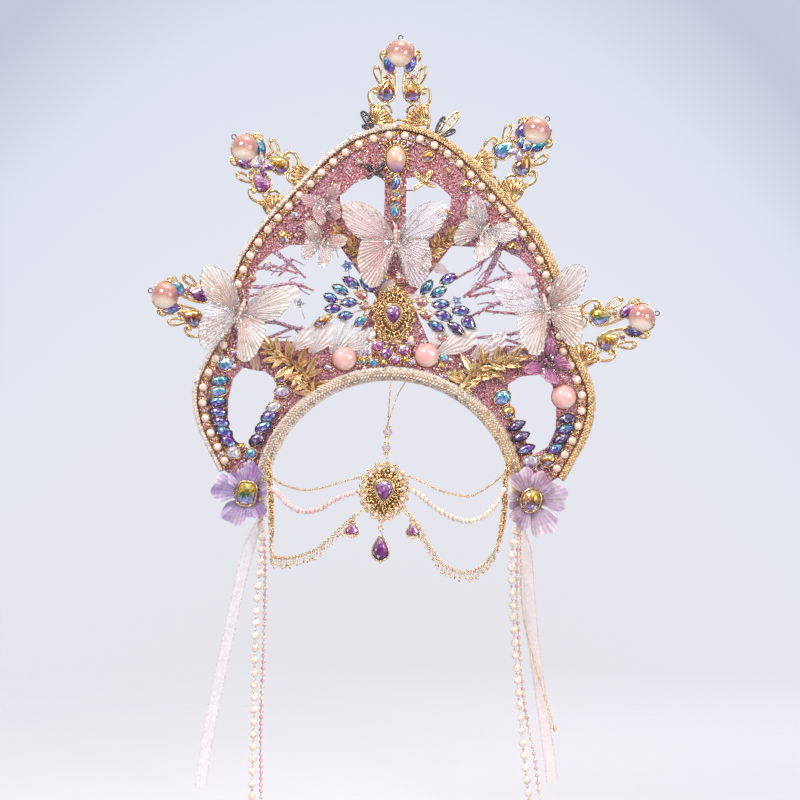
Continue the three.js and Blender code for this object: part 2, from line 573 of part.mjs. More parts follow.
// A petal for a radius of 1, from its root outwards.
const PETAL = [
  [0.1, -0.1], [0.55, -0.34], [0.85, -0.32], [1, -0.08],
  [0.96, 0.18], [0.8, 0.34], [0.5, 0.32], [0.1, 0.1],
];
const FLOWERS = [
  { name: 'left', colour: 'violetPetal', x: -101.4, z: -83, stoneTurn: 80,
    petals: [{ turn: 170, radius: 26 }, { turn: 240, radius: 25 }, { turn: 300, radius: 20 },
      { turn: 15, radius: 15 }, { turn: 80, radius: 23 }, { turn: 122, radius: 19 }] },
  { name: 'right', colour: 'mauvePetal', x: 102.4, z: -83, stoneTurn: 70,
    petals: [{ turn: 8, radius: 26 }, { turn: 300, radius: 28 }, { turn: 242, radius: 22 },
      { turn: 184, radius: 17 }, { turn: 112, radius: 23 }, { turn: 60, radius: 22 }] },
];

function flower({ x, z, petals, stoneTurn }) {
  const back = -BAND_WIDTH / 2 - GAP;
  const heart = slab(ringPoints(10, (a) => [9 * Math.cos(a), 9 * Math.sin(a)]), 2.4, -2.4);
  const leaves = petals.map(({ turn, radius }, i) => {
    const petal = slab(PETAL.map(([u, v]) => [u * radius, v * 1.5 * radius]), 1.2, -0.6);
    petal.rotateZ(-radians(14 + 5 * (i % 2)));
    return place(petal, { y: -1.6, turn });
  });
  const gem = stone({ y: -2.2, length: 17, width: 14, height: 4.5, sides: 10, turn: stoneTurn });
  return place(fuse(heart, leaves, gem), { x, y: back, z });
}
for (const row of FLOWERS) add(`flower_${row.name}`, row.colour, flower(row));

// ---------------------------------------------------------------- brow jewel, its chains and its drop

const browPlace = (across, up) => {
  const a = radians(BROW_LEAN);
  return [BROW_X + across * Math.cos(a) - up * Math.sin(a), BROW_Z + across * Math.sin(a) + up * Math.cos(a)];
};
const BROW_HALF_WIDTH = 18.5;
const BROW_HALF_HEIGHT = 21.5;
const BROW_THICK = 2.8;
const browMiddleY = BROW_Y + BROW_THICK / 2;
const [eyeX, eyeZ] = browPlace(0, -BROW_HALF_HEIGHT - RING_RADIUS + 0.5);
// The drop swings about the lowest stretch of the eye's wire, which runs front to back.
const PIVOT = [eyeX, browMiddleY, eyeZ - RING_RADIUS];

function browMedallion() {
  const jewel = medallion({
    halfWidth: BROW_HALF_WIDTH, halfHeight: BROW_HALF_HEIGHT, thick: BROW_THICK, gaps: 10, cut: 'pear',
    stoneLength: 15, stoneWidth: 11.5, x: BROW_X, y: BROW_Y + BROW_THICK, z: BROW_Z, turn: BROW_LEAN,
  });
  const eye = new THREE.TorusGeometry(RING_RADIUS, RING_WIRE, 5, 12).rotateY(Math.PI / 2);
  return fuse(jewel, eye.translate(eyeX, browMiddleY, eyeZ));
}

function browDrop() {
  const lift = 2 * RING_WIRE + GAP;
  const bail = new THREE.TorusGeometry(RING_RADIUS, RING_WIRE, 5, 12).rotateX(Math.PI / 2);
  bail.translate(0, 0, lift - RING_RADIUS);
  const bead = new THREE.SphereGeometry(2, 10, 6).translate(0, 0, -4.2);
  const pear = { cut: 'pear', z: -14.3, turn: 90 };
  const bezel = stone({ ...pear, y: 1.4, length: 18.4, width: 12.2, height: 1.6 });
  const gem = stone({ ...pear, y: 0.4, length: 17, width: 11, height: 3.2, sides: 10 });
  return fuse(bail, bead, bezel, gem).translate(...PIVOT);
}

add('brow_medallion', 'gold', browMedallion());
add('brow_drop', 'amethyst', browDrop());

// Depth of the hair line that the brow chains lie on.
const hairDepth = (x) => -HEAD_HALF_DEPTH * Math.sqrt(1 - (x / HEAD_HALF_WIDTH) ** 2);
const onHair = (rows) => rows.map(([x, z]) => [x, hairDepth(x), z]);

const browOutline = ringPoints(24, (a) => (
  [(BROW_HALF_WIDTH + GAP) * Math.cos(a), (BROW_HALF_HEIGHT + GAP) * Math.sin(a)]));
const browSpace = place(slab(browOutline, 12, -6), { x: BROW_X, y: browMiddleY, z: BROW_Z, turn: BROW_LEAN });

const BROW_CHAIN_DIA = 1.8;
const [chainFootX, chainFootZ] = [4, -31];
function browChain() {
  const leg = (x) => tube([
    [x, -BAND_WIDTH / 2 - GAP - BROW_CHAIN_DIA / 2, 4.6],
    [x - 0.2, -27, -0.5], [(x + chainFootX) / 2, -50, -11], [chainFootX, -75, chainFootZ],
  ], { width: BROW_CHAIN_DIA });
  const bicone = (radius, half, y, z) => new THREE.LatheGeometry(
    [[0, -half], [radius, 0], [0, half]].map(([r, h]) => new THREE.Vector2(r, h)), 8,
  ).rotateX(Math.PI / 2 - 0.45).translate(chainFootX + 0.3, y, z);
  const wire = tube([
    [chainFootX, -75, chainFootZ], [chainFootX + 0.4, -88, -44], [chainFootX + 1.4, -96, -58],
  ], { width: 1.2 });
  return fuse(leg(1.6), leg(12), wire, bicone(3.4, 4.4, -80, -36), bicone(3.4, 4.4, -89, -47));
}
add('brow_chain', 'gold', carve(browChain(), browSpace));

const DANGLE_LEFT = [
  [-86.6, -14.6, -58], [-84.8, -20.5, -67], [-83.2, -26, -78], [-80.5, -36, -107],
  [-79.6, -41, -124], [-72, -55.6, -126.4], [-57.2, -73.7, -123.8], [-43.6, -84.3, -118.2],
  [-31.3, -90.7, -108], [-21, -94.2, -98], [-10, -95.8, -90],
];
const DANGLE_RIGHT = [
  [86, -14.6, -54], [84.8, -19, -63], [84, -23.4, -74], [84.2, -28, -87],
  [82.4, -34, -104.8], [76, -49, -121.8], [66, -64, -130.9], [56, -74.6, -131.9],
  [44, -84, -125.4], [35, -89, -113], [28.6, -92, -100.5], [18, -95.6, -88],
];
const DANGLE_DIA = 3.4;
add('dangle_chain_left', 'gold', carve(tube(DANGLE_LEFT, { width: DANGLE_DIA }), browSpace));
add('dangle_chain_right', 'gold', carve(tube(DANGLE_RIGHT, { width: DANGLE_DIA }), browSpace));

const dangleSpace = [DANGLE_LEFT, DANGLE_RIGHT]
  .map((points) => tube(points, { width: DANGLE_DIA + 3 * GAP }));
function swag(points, width) {
  return carve(tube(points, { width }), browSpace, dangleSpace);
}
add('pearl_swag_left', 'pearl', swag([
  DANGLE_LEFT[2], ...onHair([[-74, -81.6], [-63.7, -89.6], [-52.5, -92.4], [-40.5, -89.8], [-29, -82.5]]),
  [-11, -96, -76],
], 3.6));
add('pearl_swag_right', 'pearl', swag([
  [16, -96, -72], ...onHair([[28.8, -79], [37, -86.1], [48, -93], [58.5, -96.6], [68, -94.8], [76, -88.8]]),
  DANGLE_RIGHT[2],
], 3.6));
add('fine_chain_left', 'gold', swag([
  DANGLE_LEFT[1], ...onHair([[-75, -73], [-61.5, -76.6], [-52.8, -77.6], [-40.8, -75.6], [-27.7, -71.5]]),
  [-10, -96.2, -66],
], 1.6));
add('fine_chain_right', 'gold', swag([
  [17, -96.2, -64],
  ...onHair([[30, -70], [42.2, -75.7], [53.4, -78.5], [62, -79.3], [71, -74.6], [78, -69.4]]),
  DANGLE_RIGHT[1],
], 1.6));

const SIDE_DROPS = [
  { name: 'left', x: -17.6, y: -94.6, z: -103 },
  { name: 'right', x: 24.4, y: -93.6, z: -103 },
];
for (const { name, x, y, z } of SIDE_DROPS) {
  const gem = stone({ cut: 'pear', x, y: y + 1.6, z, turn: 90, length: 10.4, width: 10, height: 3.2 });
  const link = new THREE.CylinderGeometry(0.5, 0.5, 5, 6).rotateX(Math.PI / 2).translate(x, y, z + 6.4);
  add(`side_drop_${name}`, 'amethyst', carve(fuse(gem, link), dangleSpace));
}

// ---------------------------------------------------------------- hanging strands and streamers

const BAND_END = new THREE.Vector2(BAND_INNER + BAND_THICK / 2, 0)
  .rotateAround(new THREE.Vector2(), -radians(BAND_DROP));

// Height just under the band's end face, which is square to the band and so leans.
function strandTop(x) {
  return BAND_CENTRE_Z + BAND_END.y + (BAND_END.x - Math.abs(x)) * Math.tan(radians(BAND_DROP)) - 2 * GAP;
}

function strand({ y, course, width, sides = 8 }) {
  const points = course.map((row) => [row.x, y, row.z]);
  points[0][2] = strandTop(course[0].x);
  return tube(points, { width, sides });
}

function streamer({ y, course }) {
  const points = course.map((row) => [row.x, row.z]);
  points[0][1] = strandTop(course[0].x);
  const widths = [STREAMER_NECK, ...points.slice(1).map(() => STREAMER_WIDTH)];
  return slab(stripOutline(points, widths), STREAMER_THICK, y);
}

add('pearl_strand_left', 'pearl', strand({ y: -6, width: STRAND_PEARL, sides: BEAD_SIDES, course: [
  { x: -92.5, z: -103 }, { x: -91.6, z: -121 }, { x: -94.3, z: -175 },
  { x: -94.5, z: -240 }, { x: -94.6, z: -306 },
] }));
add('pearl_strand_right', 'pearl', strand({ y: -6, width: STRAND_PEARL, sides: BEAD_SIDES, course: [
  { x: 92.5, z: -103 }, { x: 89.2, z: -121 }, { x: 89.3, z: -139 }, { x: 92.4, z: -184 },
  { x: 100.6, z: -264 }, { x: 106.4, z: -306 },
] }));
add('pink_strand_left', 'pinkBead', strand({ y: 1, width: 3.2, course: [
  { x: -92, z: -103 }, { x: -89.4, z: -131 }, { x: -88.9, z: -188 },
  { x: -89.9, z: -246 }, { x: -88.7, z: -305 },
] }));
add('pink_strand_right', 'pinkBead', strand({ y: 0, width: 3.2, course: [
  { x: 93.5, z: -103 }, { x: 93.2, z: -152 }, { x: 100.3, z: -230 },
  { x: 107.9, z: -266 }, { x: 112.9, z: -299 },
] }));
add('gold_strand_right', 'gold', strand({ y: 6, width: 2.4, course: [
  { x: 94.5, z: -103 }, { x: 97.8, z: -166 }, { x: 122, z: -249.5 },
] }));
add('streamer_left', 'organza', streamer({ y: 9, course: [
  { x: -94, z: -102 }, { x: -102.6, z: -124 }, { x: -116.4, z: -189 },
  { x: -131.3, z: -273 }, { x: -134, z: -298 },
] }));
add('streamer_right', 'organza', streamer({ y: 9, course: [
  { x: 94, z: -102 }, { x: 98.6, z: -120 }, { x: 104.6, z: -178 },
  { x: 119.6, z: -275 }, { x: 121, z: -287 },
] }));

export default group;
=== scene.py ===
"""Looks of the fairy crown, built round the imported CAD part.

Lengths in the tables are millimetres in the CAD frame: X to the viewer's right, Y to the back of
the head, Z up. A piece's own frame has u across, v up and w out towards the viewer."""

import functools
import math

import bmesh
import bpy
import numpy as np
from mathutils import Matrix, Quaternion, Vector


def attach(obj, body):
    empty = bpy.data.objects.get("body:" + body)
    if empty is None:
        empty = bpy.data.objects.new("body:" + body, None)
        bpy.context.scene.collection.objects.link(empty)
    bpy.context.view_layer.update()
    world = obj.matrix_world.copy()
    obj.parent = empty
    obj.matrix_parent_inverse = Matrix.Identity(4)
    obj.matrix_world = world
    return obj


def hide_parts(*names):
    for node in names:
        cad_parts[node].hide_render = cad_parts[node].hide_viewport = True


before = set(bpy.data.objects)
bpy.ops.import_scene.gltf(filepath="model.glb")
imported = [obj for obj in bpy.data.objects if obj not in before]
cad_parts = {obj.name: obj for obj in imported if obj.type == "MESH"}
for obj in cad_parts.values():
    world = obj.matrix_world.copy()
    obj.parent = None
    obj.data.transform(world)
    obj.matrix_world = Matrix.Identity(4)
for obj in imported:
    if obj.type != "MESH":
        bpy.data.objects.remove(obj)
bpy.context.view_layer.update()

MM = 0.001
SEAT = -2.3  # where ornaments lie on the board
BAND_CENTRE_Z = -89.0
CROWN = "crown"


# ---------------------------------------------------------------- camera, light and floor

FLOOR_RADIUS, FLOOR_Z = 1.6, -0.345  # metres
CAMERA = dict(azimuth=4.5, roll=1.2, distance=2.0, lens=125, target=(6.1, 0, -13.7))


def camera():
    """A long lens in front of the crown, turned and rolled as in the photo."""
    azimuth = math.radians(CAMERA["azimuth"])
    away = Vector((math.sin(azimuth), -math.cos(azimuth), 0))
    lens = bpy.data.cameras.new("camera")
    lens.lens = CAMERA["lens"]
    lens.sensor_width = 36
    eye = bpy.data.objects.new("camera", lens)
    eye.location = Vector(CAMERA["target"]) * MM + away * CAMERA["distance"]
    roll = Quaternion((0, 0, 1), math.radians(CAMERA["roll"]))
    eye.rotation_mode = "QUATERNION"
    eye.rotation_quaternion = (-away).to_track_quat("-Z", "Y") @ roll
    bpy.context.collection.objects.link(eye)
    bpy.context.scene.camera = eye


LIGHTS = [  # place in metres, size in metres, watts, colour
    dict(name="key", at=(-1.0, -1.5, 1.3), size=0.8, power=36, colour=(1.0, 0.96, 0.91)),
    dict(name="fill", at=(1.5, -1.3, 0.4), size=1.0, power=18, colour=(1.0, 0.97, 0.95)),
    dict(name="top", at=(0.1, -0.1, 1.7), size=0.9, power=13, colour=(1.0, 0.98, 0.96)),
    dict(name="back", at=(0.4, 1.6, 0.7), size=1.2, power=16, colour=(0.95, 0.96, 1.0)),
    dict(name="glint", at=(0.5, -1.7, 0.9), size=0.12, power=5, colour=(1.0, 1.0, 1.0)),
]


def lights():
    """One square lamp for each row of LIGHTS, aimed at the origin."""
    for row in LIGHTS:
        data = bpy.data.lights.new(row["name"], "AREA")
        data.size, data.energy, data.color = row["size"], row["power"], row["colour"]
        lamp = bpy.data.objects.new(row["name"], data)
        lamp.location = row["at"]
        lamp.rotation_euler = (-Vector(row["at"])).to_track_quat("-Z", "Y").to_euler()
        bpy.context.collection.objects.link(lamp)


def sky():
    """Pale bluish room, darker in its upper corners; metal and stones mirror a dimmer, patchy one."""
    world = bpy.data.worlds.new("room")
    bpy.context.scene.world = world
    world.use_nodes = True
    nodes, links = world.node_tree.nodes, world.node_tree.links

    def add(kind, operation=None, links_in=(), **values):
        """One node of the sky, with its values set and its inputs linked."""
        node = nodes.new("ShaderNode" + kind)
        if operation:
            node.operation = operation
        for key, value in values.items():
            key = int(key[1:]) if key[1:].isdigit() else key.replace("_", " ")
            node.inputs[key].default_value = value
        for key, output in links_in:
            links.new(output, node.inputs[key])
        return node

    def ramp(value, stops):
        """The colour of a value, from stops of (position, colour)."""
        node = add("ValToRGB", links_in=[(0, value)])
        elements = node.color_ramp.elements
        for element, (position, colour) in zip(elements, (stops[0], stops[-1])):
            element.position, element.color = position, (*colour, 1)
        for position, colour in stops[1:-1]:
            elements.new(position).color = (*colour, 1)
        return node.outputs["Color"]

    place = add("TexCoord").outputs["Generated"]
    split = add("SeparateXYZ", links_in=[(0, place)])
    centred = add("Math", "ADD", [(0, split.outputs["X"])], _1=0.085).outputs[0]  # the camera looks aside
    square = add("Math", "MULTIPLY", [(0, centred), (1, centred)]).outputs[0]
    bowl = add("Math", "MULTIPLY_ADD", [(0, square), (2, split.outputs["Z"])], _1=4.2).outputs[0]
    seen = ramp(add("MapRange", None, [("Value", bowl)], From_Min=-1).outputs[0],
                [(0.0, (0.80, 0.77, 0.81)), (0.41, (0.80, 0.77, 0.81)), (0.53, (0.78, 0.80, 0.88)),
                 (0.572, (0.72, 0.76, 0.86)), (0.60, (0.54, 0.58, 0.72)), (0.72, (0.74, 0.77, 0.86))])
    height = add("MapRange", None, [("Value", split.outputs["Z"])], From_Min=-1).outputs[0]
    mirrored = ramp(height, [
        (0.0, (0.12, 0.09, 0.08)), (0.34, (0.20, 0.17, 0.17)), (0.41, (0.80, 0.77, 0.81)),
        (0.49, (0.78, 0.80, 0.88)), (0.57, (0.66, 0.70, 0.80)), (0.64, (0.70, 0.72, 0.80)),
        (0.74, (0.40, 0.40, 0.44)), (1.0, (0.80, 0.82, 0.88))])
    clouds = add("TexNoise", None, [("Vector", place)], Scale=2.6).outputs["Fac"]
    patches = add("MapRange", None, [("Value", clouds)],
                  From_Min=0.42, From_Max=0.6, To_Min=0.10, To_Max=0.85)
    ahead = add("MapRange", None, [("Value", split.outputs["Y"])], From_Min=-0.35, From_Max=0.35)
    direct = add("LightPath").outputs["Is Camera Ray"]
    bright = add("Math", "MAXIMUM", [(0, ahead.outputs[0]), (1, direct)]).outputs[0]
    level = add("Mix", None, [("Factor", bright), ("A", patches.outputs[0])], B=1.0)
    colour = add("MixRGB", None, [(0, direct), (1, mirrored), (2, seen)])
    links.new(colour.outputs[0], nodes["Background"].inputs["Color"])
    links.new(level.outputs["Result"], nodes["Background"].inputs["Strength"])


camera()
lights()
sky()
bpy.context.scene.view_settings.view_transform = "Standard"


# ---------------------------------------------------------------- materials

MATERIALS = {}


class Finish:
    """A material on one principled shader, with short ways to wire patterns into it."""

    def __init__(self, name, colour, roughness, metallic=0.0, tinted=False, **inputs):
        self.material = bpy.data.materials.new(name)
        self.material.use_nodes = True
        self.nodes, self.links = self.material.node_tree.nodes, self.material.node_tree.links
        self.shader = self.nodes["Principled BSDF"]
        self.shader.inputs["Base Color"].default_value = (*colour, 1)
        self.shader.inputs["Roughness"].default_value = roughness
        self.shader.inputs["Metallic"].default_value = metallic
        for key, value in inputs.items():
            self.shader.inputs[key.replace("_", " ")].default_value = value
        self.colour_source = None
        self.base = colour
        place = self.nodes.new("ShaderNodeTexCoord")
        self.place = place.outputs["Object"]
        if tinted:
            tint = self.nodes.new("ShaderNodeAttribute")
            tint.attribute_name = "tint"
            self.colour_source = tint.outputs["Color"]
            self.links.new(self.colour_source, self.shader.inputs["Base Color"])
        MATERIALS[name] = self.material

    def texture(self, kind, size):
        """A pattern whose features are about size millimetres across."""
        texture = self.nodes.new("ShaderNodeTex" + kind)
        texture.inputs["Scale"].default_value = 1 / (size * MM)
        self.links.new(self.place, texture.inputs["Vector"])
        return texture

    def cell_values(self, size):
        """Three random values for each cell of a pattern, as Red, Green and Blue."""
        split = self.nodes.new("ShaderNodeSeparateColor")
        self.links.new(self.texture("Voronoi", size).outputs["Color"], split.inputs[0])
        return split.outputs

    def ramp(self, source, stops):
        """A colour ramp over a value, from (position, colour) rows."""
        tone = self.nodes.new("ShaderNodeValToRGB")
        elements = tone.color_ramp.elements
        while len(elements) < len(stops):
            elements.new(0.5)
        for element, (position, colour) in zip(elements, stops):
            element.position = position
            element.color = (*colour, 1)
        self.links.new(source, tone.inputs[0])
        return tone.outputs["Color"]

    def levels(self, source, low, high, to_low, to_high):
        """A pattern's values from low to high, spread over another range."""
        scale = self.nodes.new("ShaderNodeMapRange")
        for key, value in [("From Min", low), ("From Max", high),
                           ("To Min", to_low), ("To Max", to_high)]:
            scale.inputs[key].default_value = value
        self.links.new(source, scale.inputs["Value"])
        return scale.outputs[0]

    def shade(self, source, amount):
        """Multiplies the colour by a pattern."""
        mix = self.nodes.new("ShaderNodeMix")
        mix.data_type = "RGBA"
        mix.blend_type = "MULTIPLY"
        mix.inputs["Factor"].default_value = amount
        if self.colour_source is None:
            mix.inputs["A"].default_value = (*self.base, 1)
        else:
            self.links.new(self.colour_source, mix.inputs["A"])
        self.links.new(source, mix.inputs["B"])
        self.colour_source = mix.outputs["Result"]
        self.links.new(self.colour_source, self.shader.inputs["Base Color"])

    def mottle(self, size, stops, amount, detail=3.0):
        """Multiplies the colour by a cloudy pattern, and returns the pattern."""
        cloud = self.texture("Noise", size)
        cloud.inputs["Detail"].default_value = detail
        self.shade(self.ramp(cloud.outputs["Fac"], stops), amount)
        return cloud.outputs["Fac"]

    def paint(self, source):
        """Uses a pattern as the colour."""
        self.colour_source = source
        self.links.new(source, self.shader.inputs["Base Color"])

    def drive(self, name, source):
        """Links a pattern to one of the shader's inputs."""
        self.links.new(source, self.shader.inputs[name])

    def bump(self, source, depth, strength=0.6):
        """Raises the surface by a pattern. depth is in millimetres."""
        node = self.nodes.new("ShaderNodeBump")
        node.inputs["Strength"].default_value = strength
        node.inputs["Distance"].default_value = depth * MM
        self.links.new(source, node.inputs["Height"])
        self.links.new(node.outputs[0], self.shader.inputs["Normal"])


def gold_finishes():
    """The golds, the dark wire and the silver, each with duller, browner patches."""
    for name, colour, roughness in [("gold", (1.0, 0.74, 0.42), 0.18),
                                    ("deep_gold", (0.50, 0.27, 0.14), 0.26),
                                    ("dark_wire", (0.16, 0.14, 0.16), 0.26),
                                    ("leaf", (1.0, 1.0, 1.0), 0.22),
                                    ("silver", (0.78, 0.78, 0.80), 0.22)]:
        finish = Finish(name, colour, roughness, metallic=0.7 if name == "leaf" else 0.88,
                        tinted=name == "leaf")
        patch = finish.mottle(2.4, [(0.36, (0.34, 0.22, 0.14)), (0.46, (0.86, 0.80, 0.72)),
                                    (0.60, (1, 1, 1))], 0.75)
        finish.drive("Roughness", finish.levels(patch, 0.3, 0.7, roughness + 0.12, roughness - 0.06))


def glitter_finish():
    """Fine rose and mauve foil flakes, each with a slope and a shade of its own."""
    finish = Finish("glitter", (0.5, 0.2, 0.22), 0.3, metallic=0.5)
    values = finish.cell_values(0.62)
    finish.paint(finish.ramp(values["Red"], [
        (0.0, (0.16, 0.03, 0.06)), (0.22, (0.38, 0.10, 0.15)), (0.45, (0.60, 0.22, 0.28)),
        (0.70, (0.80, 0.40, 0.46)), (0.88, (0.95, 0.66, 0.70)), (1.0, (1.0, 0.94, 0.96))]))
    finish.mottle(38.0, [(0.36, (1.0, 0.84, 0.76)), (0.5, (1.0, 0.94, 0.92)), (0.66, (0.92, 0.92, 1.0))], 1.0)
    finish.drive("Roughness", finish.levels(values["Green"], 0, 1, 0.12, 0.5))
    finish.bump(values["Blue"], 0.4, 0.9)
    flake = Finish("flake", (0.8, 0.5, 0.5), 0.16, metallic=0.9, tinted=True)
    flake.mottle(6.0, [(0.35, (0.8, 0.7, 0.7)), (0.6, (1, 1, 1))], 0.6)


def twig_finish():
    """Mauve foil grains, as on the bound bundles."""
    finish = Finish("twig", (0.56, 0.32, 0.52), 0.42, metallic=0.35)
    values = finish.cell_values(0.7)
    finish.paint(finish.ramp(values["Red"], [
        (0.0, (0.16, 0.06, 0.13)), (0.35, (0.38, 0.18, 0.30)), (0.7, (0.58, 0.36, 0.48)),
        (1.0, (0.92, 0.78, 0.88))]))
    finish.bump(values["Blue"], 0.4, 0.8)


def thread_finishes():
    """Ivory and gold threads with painted shade in their hollows: one cloudy pattern lowers the bump and
    darkens the colour.
    """
    for name, low, high in [("ivory_thread", (0.74, 0.62, 0.54), (1.0, 0.95, 0.90)),
                            ("gold_thread", (0.56, 0.38, 0.24), (1.0, 0.84, 0.62))]:
        finish = Finish(name, high, 0.42, metallic=0.2, tinted=True, Sheen_Weight=0.2)
        finish.bump(finish.mottle(0.8, [(0.34, low), (0.6, high)], 1.0, detail=2.0), 0.25, 0.5)


def pearl_finish():
    """Cream pearl under a clear coat, clouded with rose."""
    finish = Finish("pearl", (0.90, 0.78, 0.70), 0.2, tinted=True, Coat_Weight=0.55,
                    Coat_Roughness=0.08, Subsurface_Weight=0.08)
    finish.shader.inputs["Subsurface Radius"].default_value = (1, 0.6, 0.5)
    finish.shader.inputs["Subsurface Scale"].default_value = 0.0008
    clouds = [(0.36, (0.74, 0.56, 0.50)), (0.5, (0.88, 0.76, 0.68)), (0.64, (0.95, 0.90, 0.85))]
    finish.mottle(2.6, clouds, 0.9)


def stone_finishes():
    """Foil-backed cut glass: the facets carry their own tints."""
    finish = Finish("stone", (1, 1, 1), 0.07, metallic=0.45, tinted=True, Coat_Weight=1.0,
                    Coat_Roughness=0.02)
    finish.mottle(1.5, [(0.36, (0.40, 0.38, 0.50)), (0.56, (1, 1, 1))], 0.75, detail=1.0)
    clear = Finish("crystal", (0.96, 0.9, 0.95), 0.04, tinted=True, Transmission_Weight=0.75,
                   IOR=1.5, Coat_Weight=0.6)
    clear.mottle(2.0, [(0.35, (0.85, 0.75, 0.85)), (0.65, (1, 1, 1))], 0.6)
    cat = Finish("cats_eye", (0.9, 0.6, 0.5), 0.2, tinted=True, Coat_Weight=0.8,
                 Coat_Roughness=0.06, Subsurface_Weight=0.12)
    cat.shader.inputs["Subsurface Radius"].default_value = (1, 0.5, 0.4)
    cat.shader.inputs["Subsurface Scale"].default_value = 0.002
    cat.mottle(6.0, [(0.35, (0.86, 0.76, 0.74)), (0.65, (1, 1, 1))], 0.8)


def cloth_finishes():
    """Sheer embroidered cloth. Its alpha thins between threads."""
    for name, alpha_low, alpha_high, weave, metal, dark in [
            ("organza", 0.48, 0.94, 0.6, 0.0, (0.94, 0.86, 0.86)),
            ("lace", 0.12, 1.0, 1.5, 0.16, (0.86, 0.84, 0.86)),
            ("petal", 0.66, 0.97, 1.3, 0.0, (0.76, 0.66, 0.76)),
            ("ribbon", 0.26, 0.62, 0.9, 0.0, (0.80, 0.74, 0.80))]:
        finish = Finish(name, (0.95, 0.9, 0.9), 0.36, metallic=metal, tinted=True,
                        Sheen_Weight=0.4, Sheen_Roughness=0.3)
        threads = finish.texture("Voronoi", weave)
        threads.feature = "DISTANCE_TO_EDGE"
        finish.drive("Alpha", finish.levels(threads.outputs["Distance"], 0.02, 0.30,
                                            alpha_high, alpha_low))
        finish.mottle(2.6, [(0.34, dark), (0.62, (1, 1, 1))], 0.8)
        finish.bump(threads.outputs["Distance"], 0.15, 0.4)


def floor():
    """A pale round floor that fades out into the room."""
    bpy.ops.mesh.primitive_circle_add(vertices=96, radius=FLOOR_RADIUS, fill_type="NGON",
                                      location=(0, 0, FLOOR_Z))
    disc = bpy.context.object
    disc.name = "floor"
    finish = Finish("floor", (0.67, 0.655, 0.685), 0.9)
    away = finish.nodes.new("ShaderNodeVectorMath")
    away.operation = "LENGTH"
    finish.links.new(finish.place, away.inputs[0])
    finish.drive("Alpha", finish.levels(away.outputs["Value"], 0.25, 1.5, 0.8, 0.0))
    disc.data.materials.append(finish.material)


gold_finishes()
glitter_finish()
twig_finish()
thread_finishes()
pearl_finish()
stone_finishes()
cloth_finishes()
floor()


# ---------------------------------------------------------------- points and placing

def facing(x, z, y=SEAT, turn=0.0, scale=1.0):
    """Matrix from a piece's own frame to the crown's. turn is counter-clockwise from the front."""
    t = math.radians(turn)
    m = np.eye(4)
    m[:3, 0] = np.array((math.cos(t), 0, math.sin(t))) * scale
    m[:3, 1] = np.array((-math.sin(t), 0, math.cos(t))) * scale
    m[:3, 2] = np.array((0, -1, 0)) * scale
    m[:3, 3] = (x, y, z)
    return m


def local(u=0.0, v=0.0, w=0.0, turn=0.0, tilt=0.0, lean=0.0, size=1):
    """Matrix inside a piece's frame: a size, a tilt about u, a lean about v, a turn about w."""
    a, b, c = (math.radians(k) for k in (turn, tilt, lean))
    about_w = np.array([[math.cos(a), -math.sin(a), 0], [math.sin(a), math.cos(a), 0], [0, 0, 1]])
    about_u = np.array([[1, 0, 0], [0, math.cos(b), -math.sin(b)], [0, math.sin(b), math.cos(b)]])
    about_v = np.array([[math.cos(c), 0, math.sin(c)], [0, 1, 0], [-math.sin(c), 0, math.cos(c)]])
    m = np.eye(4)
    m[:3, :3] = about_w @ about_v @ about_u @ np.diag(np.broadcast_to(size, 3))
    m[:3, 3] = (u, v, w)
    return m


def shift(x, y, z, size=1):
    """Matrix that moves to a place after scaling."""
    m = np.diag((*np.broadcast_to(size, 3), 1.0))
    m[:3, 3] = (x, y, z)
    return m


def moved(matrix, points):
    """Points after a matrix."""
    return np.asarray(points, float) @ matrix[:3, :3].T + matrix[:3, 3]


def aimed(at, direction, size=1, side=(0, -1, 0)):
    """Matrix whose w axis points along direction."""
    size = np.broadcast_to(size, 3)
    w = np.asarray(direction, float)
    w = w / np.linalg.norm(w)
    u = np.cross(side, w)
    if np.linalg.norm(u) < 1e-3:
        u = np.cross((0.3, 0.1, 1), w)
    u = u / np.linalg.norm(u)
    m = np.eye(4)
    m[:3, 0], m[:3, 1], m[:3, 2] = u * size[0], np.cross(w, u) * size[1], w * size[2]
    m[:3, 3] = at
    return m


def frames(at, along, normal, size):
    """Matrices for arrays of places: u along a direction, w as near as it can be to a normal."""
    at, along, normal = np.broadcast_arrays(*(np.asarray(k, float) for k in (at, along, normal)))
    u = along / np.linalg.norm(along, axis=-1, keepdims=True)
    w = normal - u * np.sum(normal * u, -1, keepdims=True)
    w = w / np.maximum(np.linalg.norm(w, axis=-1, keepdims=True), 1e-9)
    size = np.broadcast_to(np.asarray(size, float), u.shape)
    m = np.zeros((*u.shape[:-1], 4, 4))
    m[..., :3, 0] = u * size[..., :1]
    m[..., :3, 1] = np.cross(w, u) * size[..., 1:2]
    m[..., :3, 2] = w * size[..., 2:]
    m[..., :3, 3], m[..., 3, 3] = at, 1
    return m.reshape(-1, 4, 4)


def to_viewer(at, size):
    """Matrices for upright copies that face the viewer."""
    return frames(at, (1.0, 0, 0), (0, -1.0, 0), size)


